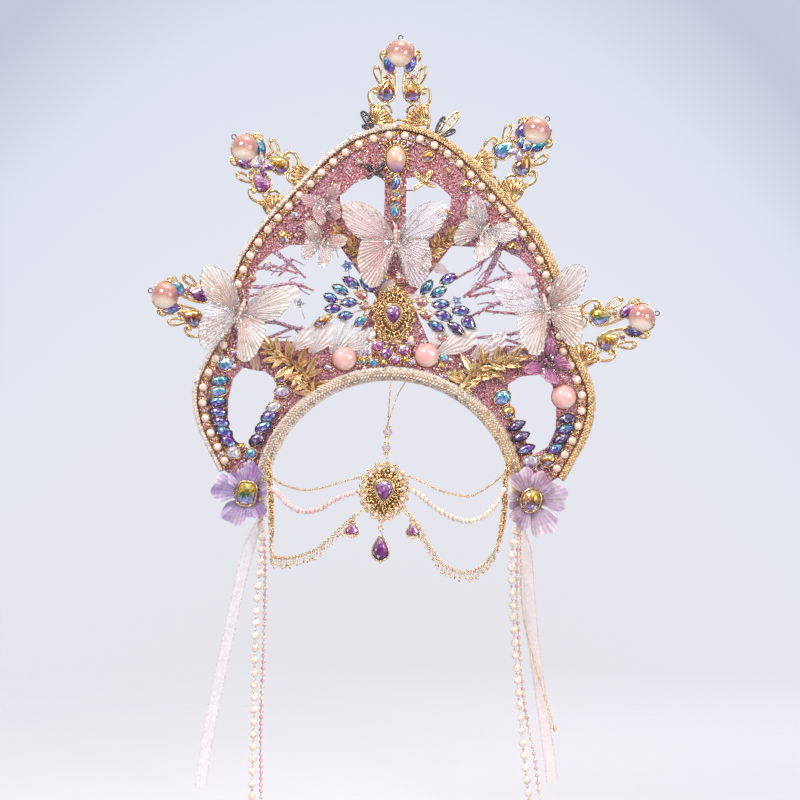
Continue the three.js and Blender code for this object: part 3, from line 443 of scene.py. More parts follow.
def spline(points, steps, smooth=14):
    """Evenly spaced points on a centripetal curve through the given ones."""
    p = np.asarray(points, float)
    p = np.vstack([2 * p[0] - p[1], p, 2 * p[-1] - p[-2]])
    out = []
    for p0, p1, p2, p3 in zip(p[:-3], p[1:-2], p[2:-1], p[3:]):
        d0, d1, d2 = (max(np.linalg.norm(b - a), 1e-6) ** 0.5 for a, b in ((p0, p1), (p1, p2), (p2, p3)))
        t1 = ((p1 - p0) / d0 - (p2 - p0) / (d0 + d1) + (p2 - p1) / d1) * d1
        t2 = ((p2 - p1) / d1 - (p3 - p1) / (d1 + d2) + (p3 - p2) / d2) * d1
        t = np.linspace(0, 1, smooth, endpoint=False)[:, None]
        out.append((2 * t**3 - 3 * t**2 + 1) * p1 + (t**3 - 2 * t**2 + t) * t1
                   + (3 * t**2 - 2 * t**3) * p2 + (t**3 - t**2) * t2)
    line = np.vstack([*out, p[-2:-1]])
    return even(line, steps)


def run_along(line):
    """Distance from a line's start to each of its points."""
    return np.concatenate([[0], np.cumsum(np.linalg.norm(np.diff(line, axis=0), axis=1))])


def even(line, steps):
    """The same line in steps of equal length."""
    run = run_along(line)
    at = np.linspace(0, run[-1], steps + 1)
    return np.stack([np.interp(at, run, line[:, k]) for k in range(line.shape[1])], 1)


def length_of(line):
    """A path's length."""
    return float(np.linalg.norm(np.diff(line, axis=0), axis=1).sum())


def mix(a, b, t):
    """From a to b as t goes from 0 to 1."""
    return np.asarray(a, float) * (1 - t) + np.asarray(b, float) * t


def unit(rows):
    """Each row at length one."""
    return rows / np.linalg.norm(rows, axis=-1, keepdims=True)


def turns(count, start=0.0):
    """Angles of a whole turn in equal steps, from a share of the first step."""
    return [2 * math.pi * (k + start) / count for k in range(count)]


def any_sizes(rng, low, high, count):
    """Random sizes, each the same along its three axes."""
    return rng.uniform(low, high, (count, 1)) * np.ones(3)


# ---------------------------------------------------------------- simple meshes

def grid(points, wrap_rows=False, wrap_cols=False):
    """Quads between the rows of an array of points."""
    rows, cols = points.shape[:2]
    r, c = np.meshgrid(np.arange(rows if wrap_rows else rows - 1),
                       np.arange(cols if wrap_cols else cols - 1), indexing="ij")
    r2, c2 = (r + 1) % rows, (c + 1) % cols
    faces = np.stack([r * cols + c, r * cols + c2, r2 * cols + c2, r2 * cols + c], -1)
    return points.reshape(-1, 3), [faces.reshape(-1, 4)]


def cloth_area(points):
    """Surface of a sheet given as rows of points, in square millimetres."""
    down, over = np.diff(points, axis=0)[:, :-1], np.diff(points, axis=1)[:-1]
    return float(np.linalg.norm(np.cross(down, over), axis=-1).sum())


def lathe(profile, sides, outline=None):
    """A profile of (radius, height) turned about w, with an outline for a radius of 1.
    Rings with a negative radius are turned by half a step, which makes triangular facets."""
    points, triangles, quads, last, last_half = [], [], [], None, False
    for radius, height in profile:
        half = radius < 0
        if radius == 0:
            ring = [len(points)]
            points.append((0, 0, height))
        else:
            ring = list(range(len(points), len(points) + sides))
            for angle in turns(sides, 0.5 * half):
                u, v = outline(angle) if outline else (math.cos(angle), math.sin(angle))
                points.append((abs(radius) * u, abs(radius) * v, height))
        for k in range(sides if last else 0):
            a, b = last[k % len(last)], last[(k + 1) % len(last)]
            c, d = ring[(k + 1) % len(ring)], ring[k % len(ring)]
            if len(last) == 1:
                triangles.append((a, c, d))
            elif len(ring) == 1:
                triangles.append((a, b, c))
            elif half and not last_half:
                triangles += [(a, b, d), (b, c, d)]
            elif last_half and not half:
                triangles += [(a, c, d), (a, b, c)]
            else:
                quads.append((a, b, c, d))
        last, last_half = ring, half
    return np.array(points, float), [np.array(f, int) for f in (triangles, quads) if f]


@functools.lru_cache(maxsize=None)
def ball(sides=10, rings=6):
    """A ball of radius 1."""
    angles = [math.pi * (k / rings - 0.5) for k in range(rings + 1)]
    return lathe([(0, -1)] + [(math.cos(a), math.sin(a)) for a in angles[1:-1]] + [(0, 1)], sides)


FLAKE = (np.array([(-1, -0.8, 0), (1.1, -0.5, 0), (-0.1, 1.1, 0)], float), [np.array([[0, 1, 2]])])


@functools.lru_cache(maxsize=None)
def dome(sides=24, rings=8):
    """The upper half of a ball of radius 1."""
    lifts = [math.pi / 2 * k / rings for k in range(rings)]
    return lathe([(0, 0)] + [(math.cos(a), math.sin(a)) for a in lifts] + [(0, 1)], sides)


@functools.lru_cache(maxsize=None)
def torus(thickness, sides=14, wire_sides=4):
    """A ring of radius 1 about w. thickness is its wire's radius."""
    a = np.linspace(0, 2 * math.pi, sides, endpoint=False)[:, None]
    b = np.linspace(0, 2 * math.pi, wire_sides, endpoint=False)[None, :]
    reach = 1 + thickness * np.cos(b)
    points = np.stack([reach * np.cos(a), reach * np.sin(a), thickness * np.sin(b) + 0 * a], -1)
    return grid(points, True, True)


def end_caps(count, sides):
    """Triangles over both ends of a tube that has count rings."""
    ends = [np.arange(sides), (count - 1) * sides + np.arange(sides)[::-1]]
    return [np.array([[e[0], e[k + 1], e[k]] for e in ends for k in range(1, sides - 1)])]


def tube(path, radius, sides=6, closed=False, flat=1.0):
    """A wire along a path. radius may be a number or one for each point; flat squeezes it."""
    path = np.asarray(path, float)
    count = len(path)
    radius = np.broadcast_to(np.asarray(radius, float), (count,))
    if closed:
        heading = np.roll(path, -1, 0) - np.roll(path, 1, 0)
    else:
        heading = np.gradient(path, axis=0)
    heading /= np.maximum(np.linalg.norm(heading, axis=1), 1e-9)[:, None]
    side = np.cross(heading[0], (0.1, 0.9, 0.2))
    angles = 2 * math.pi * np.arange(sides) / sides
    rows = np.empty((count, sides, 3))
    for k in range(count):
        side = side - heading[k] * side.dot(heading[k])
        side /= max(np.linalg.norm(side), 1e-9)
        across = np.cross(heading[k], side)
        ring = np.outer(np.cos(angles), side) + flat * np.outer(np.sin(angles), across)
        rows[k] = path[k] + radius[k] * ring
    points, faces = grid(rows, closed, True)
    return points, faces if closed else faces + end_caps(count, sides)


CUTS = {
    "oval": lambda a: (math.cos(a), math.sin(a)),
    "marquise": lambda a: (math.cos(a), math.sin(a) * abs(math.sin(a)) ** 0.9),
    "pear": lambda a: (math.cos(a), 1.3 * math.sin(a) * math.sin(a / 2)),
    "cushion": lambda a: (math.copysign(abs(math.cos(a)) ** 0.6, math.cos(a)),
                          math.copysign(abs(math.sin(a)) ** 0.6, math.sin(a))),
    "trillion": lambda a: ((0.82 + 0.18 * math.cos(3 * a)) * math.cos(a),
                           (0.82 + 0.18 * math.cos(3 * a)) * math.sin(a)),
}


@functools.lru_cache(maxsize=None)
def gem(cut, sides):
    """A cut stone for half sizes of 1, with a girdle, rows of kite facets and a faceted table."""
    profile = [(0.0, 0.0), (0.92, 0.0), (1.0, 0.28), (-0.86, 0.62), (0.64, 0.88), (-0.4, 1.0), (0.0, 1.02)]
    return lathe(profile, sides, CUTS[cut])


def colours_along(palette, places, rng, spread=0.3):
    """Tints for facets from a palette laid along a direction, each facet a little lighter or darker."""
    low, high = places.min(), places.max()
    at = (places - low) / max(high - low, 1e-6) * (len(palette) - 1)
    at = np.clip(at + rng.uniform(-0.45, 0.45, len(at)), 0, len(palette) - 1)
    table = np.array(palette, float)
    first = np.floor(at).astype(int)
    second = np.minimum(first + 1, len(palette) - 1)
    tone = table[first] * (1 - (at - first))[:, None] + table[second] * (at - first)[:, None]
    glow = 1 + rng.uniform(-spread, spread, len(at))[:, None]
    return np.clip(tone * glow, 0, 1)


# Tints from the lower end of a stone to its upper end: the stones' own AB colours, most with painted light,
# darker below and paler above
PALETTES = {
    "blue_violet": [(0.24, 0.06, 0.40), (0.20, 0.10, 0.52), (0.08, 0.14, 0.50), (0.10, 0.36, 0.66),
                    (0.34, 0.62, 0.78)],
    "violet_blue": [(0.36, 0.52, 0.80), (0.12, 0.16, 0.52), (0.22, 0.08, 0.46), (0.40, 0.16, 0.52)],
    "teal": [(0.18, 0.08, 0.38), (0.06, 0.16, 0.44), (0.03, 0.30, 0.46), (0.16, 0.55, 0.62),
             (0.60, 0.80, 0.82)],
    "night": [(0.05, 0.03, 0.12), (0.12, 0.06, 0.24), (0.22, 0.12, 0.34), (0.40, 0.36, 0.52)],
    "amber": [(0.62, 0.44, 0.86), (0.30, 0.20, 0.48), (0.30, 0.10, 0.03), (0.88, 0.40, 0.03),
              (0.98, 0.66, 0.12), (1.0, 0.88, 0.48)],
    "ember": [(0.72, 0.58, 0.92), (0.20, 0.26, 0.46), (0.34, 0.07, 0.03), (0.80, 0.28, 0.04),
              (0.95, 0.58, 0.14)],
    "meadow": [(0.78, 0.66, 0.95), (0.30, 0.36, 0.80), (0.08, 0.26, 0.08), (0.92, 0.54, 0.04),
               (0.98, 0.80, 0.20)],
    "lilac": [(0.42, 0.24, 0.68), (0.74, 0.54, 0.88), (0.95, 0.78, 0.92), (0.58, 0.74, 0.90)],
    "coral": [(0.42, 0.08, 0.12), (0.72, 0.20, 0.20), (0.88, 0.42, 0.34), (0.98, 0.78, 0.68)],
    "magenta": [(0.26, 0.03, 0.20), (0.52, 0.10, 0.40), (0.80, 0.36, 0.66), (0.95, 0.78, 0.90)],
    "purple": [(0.10, 0.01, 0.14), (0.28, 0.05, 0.30), (0.50, 0.18, 0.52), (0.88, 0.72, 0.88)],
    "frost": [(0.72, 0.72, 0.88), (0.95, 0.92, 0.95), (0.80, 0.68, 0.90)],
    "sea": [(0.44, 0.26, 0.74), (0.18, 0.36, 0.74), (0.06, 0.52, 0.70), (0.82, 0.92, 0.95)],
}


RIM_STEPS = 22  # of the wire rim round a stone


class Shape:
    """Points and faces of one piece in millimetres, each part with a finish and a tint."""

    def __init__(self, seed=1):
        self.points, self.parts, self.finishes, self.count = [], [], [], 0
        self.rng = np.random.default_rng(seed)

    def add(self, mesh, matrix=None, finish="gold", tint=(1, 1, 1), smooth=True):
        """Adds a mesh with one tint, or one for each point or face."""
        points, faces = mesh
        if matrix is not None:
            points = moved(matrix, points)
        if finish not in self.finishes:
            self.finishes.append(finish)
        tint = np.asarray(tint, float)
        slot = self.finishes.index(finish)
        start = 0
        for block in faces:
            if tint.ndim == 1:
                shade = np.broadcast_to(tint, (block.size, 3))
            elif len(tint) == len(points) and len(tint) != sum(len(f) for f in faces):
                shade = tint[block.ravel()]
            else:
                shade = np.repeat(tint[start:start + len(block)], block.shape[1], 0)
            start += len(block)
            self.parts.append((block + self.count, slot, shade, smooth))
        self.points.append(points)
        self.count += len(points)

    def many(self, mesh, places, finish="gold", tints=(1, 1, 1), smooth=True):
        """Copies of one mesh at an array of matrices, each with a tint of its own."""
        points, faces = mesh
        count = len(places)
        if finish not in self.finishes:
            self.finishes.append(finish)
        world = np.einsum("kij,pj->kpi", places[:, :3, :3], points) + places[:, None, :3, 3]
        shades = np.broadcast_to(np.asarray(tints, float), (count, 3))
        starts = self.count + np.arange(count)[:, None, None] * len(points)
        for block in faces:
            whole = (block[None] + starts).reshape(-1, block.shape[1])
            shade = np.repeat(shades, block.size, 0)
            self.parts.append((whole, self.finishes.index(finish), shade, smooth))
        self.points.append(world.reshape(-1, 3))
        self.count += count * len(points)

    # ---- parts used all over the crown

    def bead(self, at, radius, finish="gold", tint=(1, 1, 1), sides=7, rings=4):
        """A ball at a place."""
        self.add(ball(sides, rings), shift(*at, size=radius), finish, tint)

    def beads(self, places, radius, finish="gold", tint=(1, 1, 1), sides=7, rings=4, matrix=None):
        """Balls at several places."""
        for at in (moved(matrix, places) if matrix is not None else places):
            self.bead(at, radius, finish, tint, sides, rings)

    def wire(self, matrix, course, radius, finish="gold", sides=5, closed=False, steps=None, flat=1.0):
        """A wire through points given in a piece's own frame."""
        course = np.array([(*row, 0)[:3] for row in course], float)
        steps = steps or max(6, 3 * (len(course) - 1))
        line = spline(np.vstack([course, course[:1]]) if closed else course, steps)
        line = moved(matrix, line[:-1] if closed else line)
        self.add(tube(line, radius, sides, closed, flat), None, finish)

    def claw(self, matrix, u, v, w, radius):
        """A small gold ball at u, v, w of a frame."""
        self.add(ball(6, 4), matrix @ local(u, v, w) @ np.diag((radius, radius, radius, 1)), "gold")

    def ring(self, matrix, radius, thick, finish="gold", sides=16, wire_sides=4, size=(1, 1)):
        """A wire ring round a frame's w axis."""
        self.add(torus(round(thick / radius, 3), sides, wire_sides),
                 matrix @ np.diag((radius * size[0], radius * size[1], radius, 1)), finish)

    def stone(self, matrix, cut="oval", length=6.0, width=5.0, height=2.6, palette="lilac", sides=8,
              finish="stone", rim="gold", rim_thick=0.35, prongs=True, up=None):
        """A faceted stone in a wire rim, lying along its frame's u axis."""
        size = np.diag((length / 2, width / 2, height, 1.0))
        points, faces = gem(cut, sides)
        centres = np.vstack([points[f].mean(1) for f in faces])
        world = moved(matrix @ size, centres)
        # The palette runs up the crown's Z, so on every stone its paler upper end is painted light from
        # above.
        along = world[:, 2] if up is None else centres @ np.asarray(up, float)
        tints = colours_along(PALETTES[palette], along, self.rng)
        # Painted shade: facets darken from the table down to the girdle.
        tints *= np.interp(centres[:, 2], [0.1, 0.45, 0.8], [0.3, 0.62, 1.0])[:, None]
        # Painted highlight: a few random facets near the table are mixed towards white as glints.
        painted_glint = (self.rng.random(len(tints)) < 0.14) & (centres[:, 2] > 0.5)
        tints[painted_glint] = mix(tints[painted_glint], (0.96, 0.97, 1.0), 0.7)
        self.add((points, faces), matrix @ size, finish, tints, smooth=False)
        if rim:
            edge = [CUTS[cut](angle) for angle in turns(RIM_STEPS, 0.5)]
            reach = (length / 2 + 0.25, width / 2 + 0.25)
            loop = np.array([(u * reach[0], v * reach[1], 0.35 * height) for u, v in edge])
            self.add(tube(moved(matrix, loop), rim_thick, 4, closed=True), None, rim)
        if rim and prongs:
            for sign in (-1, 1):
                self.add(ball(5, 3), matrix @ local(sign * length * 0.5, 0, 0.5 * height, size=0.6), rim)

    def build(self, name):
        """The finished object, with its tints stored on the faces' corners."""
        mesh = bpy.data.meshes.new(name)
        points = np.vstack(self.points) * MM
        corners = np.concatenate([block.ravel() for block, *_ in self.parts])
        sizes = np.concatenate([np.full(len(b), b.shape[1]) for b, *_ in self.parts])
        starts = np.concatenate([[0], np.cumsum(sizes)[:-1]])
        slots = np.concatenate([np.full(len(b), slot) for b, slot, _, _ in self.parts])
        smooth = np.concatenate([np.full(len(b), s) for b, _, _, s in self.parts])
        mesh.vertices.add(len(points))
        mesh.loops.add(len(corners))
        mesh.polygons.add(len(sizes))
        mesh.vertices.foreach_set("co", points.ravel().astype(np.float32))
        mesh.loops.foreach_set("vertex_index", corners.astype(np.int32))
        mesh.polygons.foreach_set("loop_start", starts.astype(np.int32))
        mesh.polygons.foreach_set("material_index", slots.astype(np.int32))
        mesh.polygons.foreach_set("use_smooth", smooth.astype(bool))
        tint = mesh.attributes.new("tint", "FLOAT_COLOR", "CORNER")
        shade = np.vstack([part[2] for part in self.parts])
        colours = np.hstack([shade, np.ones((len(shade), 1))])
        tint.data.foreach_set("color", colours.ravel().astype(np.float32))
        mesh.update(calc_edges=True)
        mesh.validate()
        for finish in self.finishes:
            mesh.materials.append(MATERIALS[finish])
        piece = bpy.data.objects.new(name, mesh)
        bpy.context.collection.objects.link(piece)
        return piece


def outwards(piece):
    """Turns the faces of closed parts outwards."""
    work = bmesh.new()
    work.from_mesh(piece.data)
    bmesh.ops.recalc_face_normals(work, faces=work.faces)
    work.to_mesh(piece.data)
    work.free()


def place_piece(name, shape, slot, nodes=(), body=CROWN, closed=True):
    """Builds a shape, hangs it on its body's empty and hides the nodes it replaces. slot is not used."""
    piece = shape.build(name)
    if closed:
        outwards(piece)
    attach(piece, body)
    if nodes:
        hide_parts(*nodes)
    return piece


# ---------------------------------------------------------------- the board's outline

# Right half, from the point of the arch down to the foot of the side loop
HALF_OUTLINE = [(0, 180.6), (25.5, 174.6), (46.2, 161), (72.4, 134.4), (97, 106.6), (110, 85.5),
                (117.5, 64), (122.5, 42), (125.2, 26), (131, 15.6), (140.4, -8), (137.6, -32), (120.5, -67)]
WHOLE_OUTLINE = [(-x, z) for x, z in HALF_OUTLINE[:0:-1]] + HALF_OUTLINE
BRAID_WIDTH = [(0, 3.2), (0.3, 2.8), (0.5, 3.8), (0.7, 5.8), (1, 4.4)]  # share of the outline, width


def rim_line(steps):
    """Points on the outline from the left foot to the right one, and the way out at each."""
    line = spline(WHOLE_OUTLINE, steps, smooth=30)
    way = np.gradient(line, axis=0)
    return line, unit(np.stack([-way[:, 1], way[:, 0]], 1))


def braid_width(share):
    """The braid's width at a share of the outline."""
    return np.interp(share, *zip(*BRAID_WIDTH))


# ---------------------------------------------------------------- headband and edges

def knot_tint(tone, rng, count):
    """Threads and seed beads: most keep the tone, some are browner, a few are bright."""
    level = rng.choice((0.5, 0.8, 1.0, 1.1), size=(count, 1), p=(0.10, 0.26, 0.46, 0.18))
    return np.clip(np.broadcast_to(tone, (count, 3)) * level, 0, 1)


BAND_MIDDLE, BAND_HALF_DEPTH, BAND_HALF_THICK = 94.0, 11.5, 4.0  # radius, front to back, radial


def headband():
    """The pad under the cords, a bent tube with rounded ends."""
    steps, around = 200, 40
    angle = np.radians(np.linspace(187, -7, steps + 1))[:, None]
    turn = np.linspace(0, 2 * math.pi, around, endpoint=False)[None, :]
    ends = np.clip(np.minimum(np.arange(steps + 1), np.arange(steps, -1, -1)) / 2, 0.6, 1)[:, None]
    reach = BAND_MIDDLE + ends * BAND_HALF_THICK * np.sin(turn)
    points = np.stack([reach * np.cos(angle), ends * BAND_HALF_DEPTH * np.cos(turn) + 0 * angle,
                       BAND_CENTRE_Z + reach * np.sin(angle)], -1)
    body, faces = grid(points, False, True)
    pad = Shape(1)
    pad.add((body, faces + end_caps(steps + 1, around)), None, "ivory_thread", (0.56, 0.42, 0.32))
    place_piece("headband_braid", pad, "braid", ["headband"])


def headband_cords():
    """Rows of short slanting cord stitches laid over the whole pad."""
    cords = Shape(1)
    fine = np.linspace(0, 2 * math.pi, 400)
    rim = np.stack([BAND_HALF_DEPTH * np.cos(fine), BAND_HALF_THICK * np.sin(fine)], 1)
    rows, columns = 22, 132
    run = run_along(rim)
    lanes = np.interp((np.arange(rows) + 0.5) / rows * run[-1], run, fine)
    for row, t in enumerate(lanes):
        a = np.radians(np.linspace(185.6, -5.6, columns) + 0.64 * (row % 2))
        out = np.stack([np.cos(a), 0 * a, np.sin(a)], 1)
        along = np.stack([-np.sin(a), 0 * a, np.cos(a)], 1)
        front = np.array((0, 1.0, 0))
        normal = unit(out * math.sin(t) / BAND_HALF_THICK + front * math.cos(t) / BAND_HALF_DEPTH)
        across = unit(out * BAND_HALF_THICK * math.cos(t) - front * BAND_HALF_DEPTH * math.sin(t))
        at = out * (BAND_MIDDLE + BAND_HALF_THICK * math.sin(t))
        at = at + front * BAND_HALF_DEPTH * math.cos(t) + normal * 0.25
        at[:, 2] += BAND_CENTRE_Z
        way = along + across * (0.85 if row % 2 else -0.85)
        warm = np.clip((58 - np.degrees(a)) / 55, 0, 1)[:, None]
        tone = mix((1.0, 0.96, 0.90), (0.98, 0.74, 0.40), warm)
        size = np.array((1.7, 0.72, 0.98)) * cords.rng.uniform(0.85, 1.1, (columns, 1))
        cords.many(ball(5, 3), frames(at, way, normal, size), "ivory_thread",
                   knot_tint(tone, cords.rng, columns))
    place_piece("headband_cords", cords, "braid")


RIM_POINTS = 1200
EDGE_GAP = {"left": 0.0, "right": 0.3}  # keeps the rim's two halves apart
BRAID_CORE = (0.58, 0.44, 0.33)
# Section of the braid: share of its width, share of its half depth
BRAID_SECTION = np.array([(0, -1), (0.5, -1), (0.9, -0.94), (1, -0.7), (1, 0),
                          (1, 0.7), (0.9, 0.94), (0.5, 1), (0, 1)])
KNOT_PITCH, PICOT_PITCH = 2.2, 1.45
# Rows of stitches: share of the width, share of the half depth, whether on the rim
KNOT_ROWS = [*((across, -1, 0) for across in (0.16, 0.5, 0.84)),
             *((1, back, 1) for back in (-0.8, -0.5, -0.17, 0.17, 0.5, 0.8)),
             *((across, 1, 0) for across in (0.84, 0.5, 0.16))]


def on_rim(spot, run, line, out, width):
    """Places in X and Z, ways out and braid widths at distances along the rim."""
    x, z, out_x, out_z, wide = (np.interp(spot, run, k) for k in (*line.T, *out.T, width))
    return x, z, np.stack([out_x, 0 * x, out_z], 1), wide


def braid_knots(shape, rim, gap, finish, tone):
    """Rows of slanting stitches over the braid's front, rim and back."""
    knots = int(rim[0][-1] / KNOT_PITCH)
    for number, (across, back, edge) in enumerate(KNOT_ROWS):
        spot = (np.arange(knots) + 0.5 + 0.5 * (number % 2)) / (knots + 0.5) * rim[0][-1]
        x, z, way_out, wide = on_rim(spot, *rim)
        along = way_out[:, ::-1] * (1, 1, -1)
        reach = 0.5 + (wide - 1.1) * across + 0.12 * edge
        at = np.stack([x + gap, 5.2 * back + 0 * x, z], 1) + way_out * reach[:, None]
        at += shape.rng.normal(0, 0.1, at.shape)
        normal = way_out if edge else np.array((0, float(back), 0)) + 0 * way_out
        side_way = np.array((0, 1.0, 0)) + 0 * way_out if edge else way_out
        way = along + side_way * (0.9 if number % 2 else -0.9)
        size = np.stack([1.1 + 0.13 * wide, 0.4 + 0.08 * wide, 0.95 + 0 * wide], 1)
        size = size * shape.rng.uniform(0.8, 1.15, (knots, 1))
        shape.many(ball(5, 3), frames(at, way, normal, size), finish, knot_tint(tone, shape.rng, knots))


def picots(shape, rim, gap, finish):
    """Small loops of thread that stand out from the braid."""
    count = int(rim[0][-1] / PICOT_PITCH)
    spot = (np.arange(count) + shape.rng.uniform(0.2, 0.8, count)) / count * rim[0][-1]
    x, z, way_out, wide = on_rim(spot, *rim)
    stand = wide - 0.5 + shape.rng.uniform(-0.2, 0.5, count)
    at = np.stack([x + gap, shape.rng.uniform(-4.4, 4.4, count), z], 1) + way_out * stand[:, None]
    tilt = np.array((0, 1.0, 0)) + shape.rng.normal(0, 0.5, at.shape)
    shape.many(torus(0.36, 7, 3), frames(at, way_out, tilt, 1.0), finish,
               knot_tint((1, 0.92, 0.78), shape.rng, count))


def edge_braid(side, share_from, share_to, finish, tone):
    """Plaited trim wrapped round the board's rim, with small picots standing out from it."""
    line, out = rim_line(RIM_POINTS)
    first, last = int(share_from * RIM_POINTS), int(share_to * RIM_POINTS)
    line, out = line[first:last + 1], out[first:last + 1]
    width = braid_width(np.linspace(share_from, share_to, len(line)))
    gap = EDGE_GAP[side]
    offset = 0.5 + (width[:, None] - 1.1) * BRAID_SECTION[None, :, 0]
    core = np.stack([line[:, :1] + out[:, :1] * offset + gap, 5.1 * BRAID_SECTION[None, :, 1] + 0 * offset,
                     line[:, 1:] + out[:, 1:] * offset], -1)
    shape = Shape(2 if side == "left" else 7)
    shape.add(grid(core, False, True), None, finish, BRAID_CORE)
    seam = line[::6] - 0.25 * out[::6]
    seam = np.stack([seam[:, 0] + gap, -0.6 + 0 * seam[:, 0], seam[:, 1]], 1)
    shape.add(tube(seam, 1.15, 6), None, finish, BRAID_CORE)
    rim = (run_along(line), line, out, width)
    braid_knots(shape, rim, gap, finish, tone)
    picots(shape, rim, gap, finish)
    place_piece(f"edge_braid_{side}_trim", shape, "braid", [f"edge_braid_{side}"])


def edging_pearls(shape, centres):
    """Pearls in small rings, each held by eight claws."""
    tone = np.array((1.0, 0.90, 0.82)) * shape.rng.uniform(0.88, 1.0, (len(centres), 1))
    shape.many(ball(16, 9), to_viewer(centres, (3.0, 3.0, 2.4)), "pearl", tone)
    shape.many(torus(0.14, 14, 4), to_viewer(centres + (0, 1.3, 0), 3.0), "deep_gold")
    for k in range(8):
        a = k * math.pi / 4
        shape.many(ball(5, 3), to_viewer(centres + (3.0 * math.cos(a), 0.8, 3.0 * math.sin(a)), 0.55), "gold")


def edging_seeds(shape, spots, middles, pitch, long):
    """A crust of gold, brown, pearly and rosy seeds, clear of the pearls."""
    lanes = []
    for off in (-2.55, -1.55, -0.55, 0.55, 1.55, 2.55):
        distance = np.arange(0.4, long - 0.4, 1.2)
        distance = distance + shape.rng.uniform(-0.3, 0.3, len(distance))
        nearest = middles[np.clip((distance / pitch).astype(int), 0, len(middles) - 1)]
        distance = distance[np.hypot((distance - nearest), off) > 3.1]
        lanes.append(spots(distance, off + shape.rng.uniform(-0.25, 0.25, len(distance)), SEAT - 0.65))
    seeds = np.vstack(lanes)
    kind = shape.rng.random(len(seeds))
    radius = any_sizes(shape.rng, 0.5, 0.85, len(seeds))
    for low, high, finish in ((0, 0.36, "deep_gold"), (0.36, 0.66, "gold"), (0.66, 0.82, "pearl")):
        chosen = (kind >= low) & (kind < high)
        shape.many(ball(5, 3), to_viewer(seeds[chosen], radius[chosen]), finish, (0.98, 0.80, 0.72))
    chosen = kind >= 0.82
    tints = np.array(PALETTES["coral"] + PALETTES["magenta"])[shape.rng.integers(0, 8, chosen.sum())]
    shape.many(gem("oval", 6), to_viewer(seeds[chosen] + (0, 0.4, 0), radius[chosen] * 1.2), "stone", tints,
               smooth=False)


PEARL_PITCH = 11.5


def pearl_edging(side, share_from, share_to):
    """Pearls in an even row, stones between them, in a crust of seeds."""
    line, out = (k[int(share_from * RIM_POINTS):int(share_to * RIM_POINTS) + 1] for k in rim_line(RIM_POINTS))
    inner = line - out * 3.75
    run = run_along(inner)
    long = run[-1]
    pearls = round(long / PEARL_PITCH)
    pitch = long / pearls
    shape = Shape(3 if side == "left" else 4)

    def spots(distance, off, depth):
        """Points at a distance along the edge, moved out and back from it."""
        x, z, out_x, out_z = (np.interp(distance, run, k) for k in (*inner.T, *out.T))
        return np.stack([x + out_x * off + EDGE_GAP[side], depth + 0 * x, z + out_z * off], -1)

    middles = (np.arange(pearls) + 0.5) * pitch
    edging_pearls(shape, spots(middles, 0, SEAT - 1.7))
    edging_seeds(shape, spots, middles, pitch, long)
    for k in range(pearls):
        at = spots(np.array([min((k + 1) * pitch, long - 0.5)]), 0.0, SEAT - 0.4)[0]
        palette = ("coral", "ember", "lilac", "amber")[shape.rng.integers(4)]
        shape.stone(facing(at[0], at[2], SEAT - 0.4), "oval", 3.0, 3.0, 1.7, palette, sides=7, rim_thick=0.3,
                    prongs=False)
    bed = np.stack([spots(np.linspace(0, long, 300), off, depth)
                    for off, depth in ((-2.9, SEAT), (-2.4, SEAT - 0.5), (2.4, SEAT - 0.5), (2.9, SEAT))], 1)
    shape.add(grid(bed, False, True), None, "deep_gold")
    place_piece(f"pearl_edging_{side}_row", shape, "pearl", [f"pearl_edging_{side}"])


FLAKE_COUNT = 25000
FLAKE_TONES = [  # share of the flakes, tint
    (0.16, (0.34, 0.08, 0.10)), (0.24, (0.56, 0.22, 0.24)), (0.24, (0.76, 0.42, 0.44)),
    (0.18, (0.92, 0.66, 0.68)), (0.13, (1.0, 0.93, 0.95)), (0.05, (0.90, 0.70, 0.46))]


def board():
    """The glitter board is the CAD solid itself, dusted with loose foil flakes."""
    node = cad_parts["crown_plate"]
    node.data.materials.clear()
    node.data.materials.append(MATERIALS["glitter"])
    node.data.calc_loop_triangles()
    corners = np.array([node.matrix_world @ vertex.co for vertex in node.data.vertices]) / MM
    a, b, c = (corners[[face.vertices[k] for face in node.data.loop_triangles]] for k in range(3))
    normal = np.cross(b - a, c - a)
    area = np.linalg.norm(normal, axis=1)
    normal /= np.maximum(area, 1e-9)[:, None]
    shape = Shape(6)
    rng = shape.rng
    count = FLAKE_COUNT
    weight = area * (np.abs(normal[:, 1]) > 0.9) * np.where(normal[:, 1] < 0, 1.8, 1.0)
    face = rng.choice(len(area), count, p=weight / weight.sum())
    first, second = np.sqrt(rng.random(count))[:, None], rng.random(count)[:, None]
    at = a[face] * (1 - first) + b[face] * first * (1 - second) + c[face] * first * second
    tilted = normal[face] + rng.normal(0, 0.28, at.shape)
    heading = rng.normal(0, 1, at.shape)
    shares, tones = zip(*FLAKE_TONES)
    tints = np.array(tones)[rng.choice(len(tones), count, p=shares)]
    pale = np.clip((60 - at[:, 2:]) / 90, 0, 1) * np.clip(0.65 - at[:, :1] / 260, 0.3, 1)
    tints = mix(tints, (1.0, 0.80, 0.82), 0.55 * pale)
    size = any_sizes(rng, 0.2, 0.42, count)
    shape.many(FLAKE, frames(at + normal[face] * 0.16, heading, tilted, size), "flake", tints, smooth=False)
    place_piece("board_flakes", shape, "glitter", closed=False)


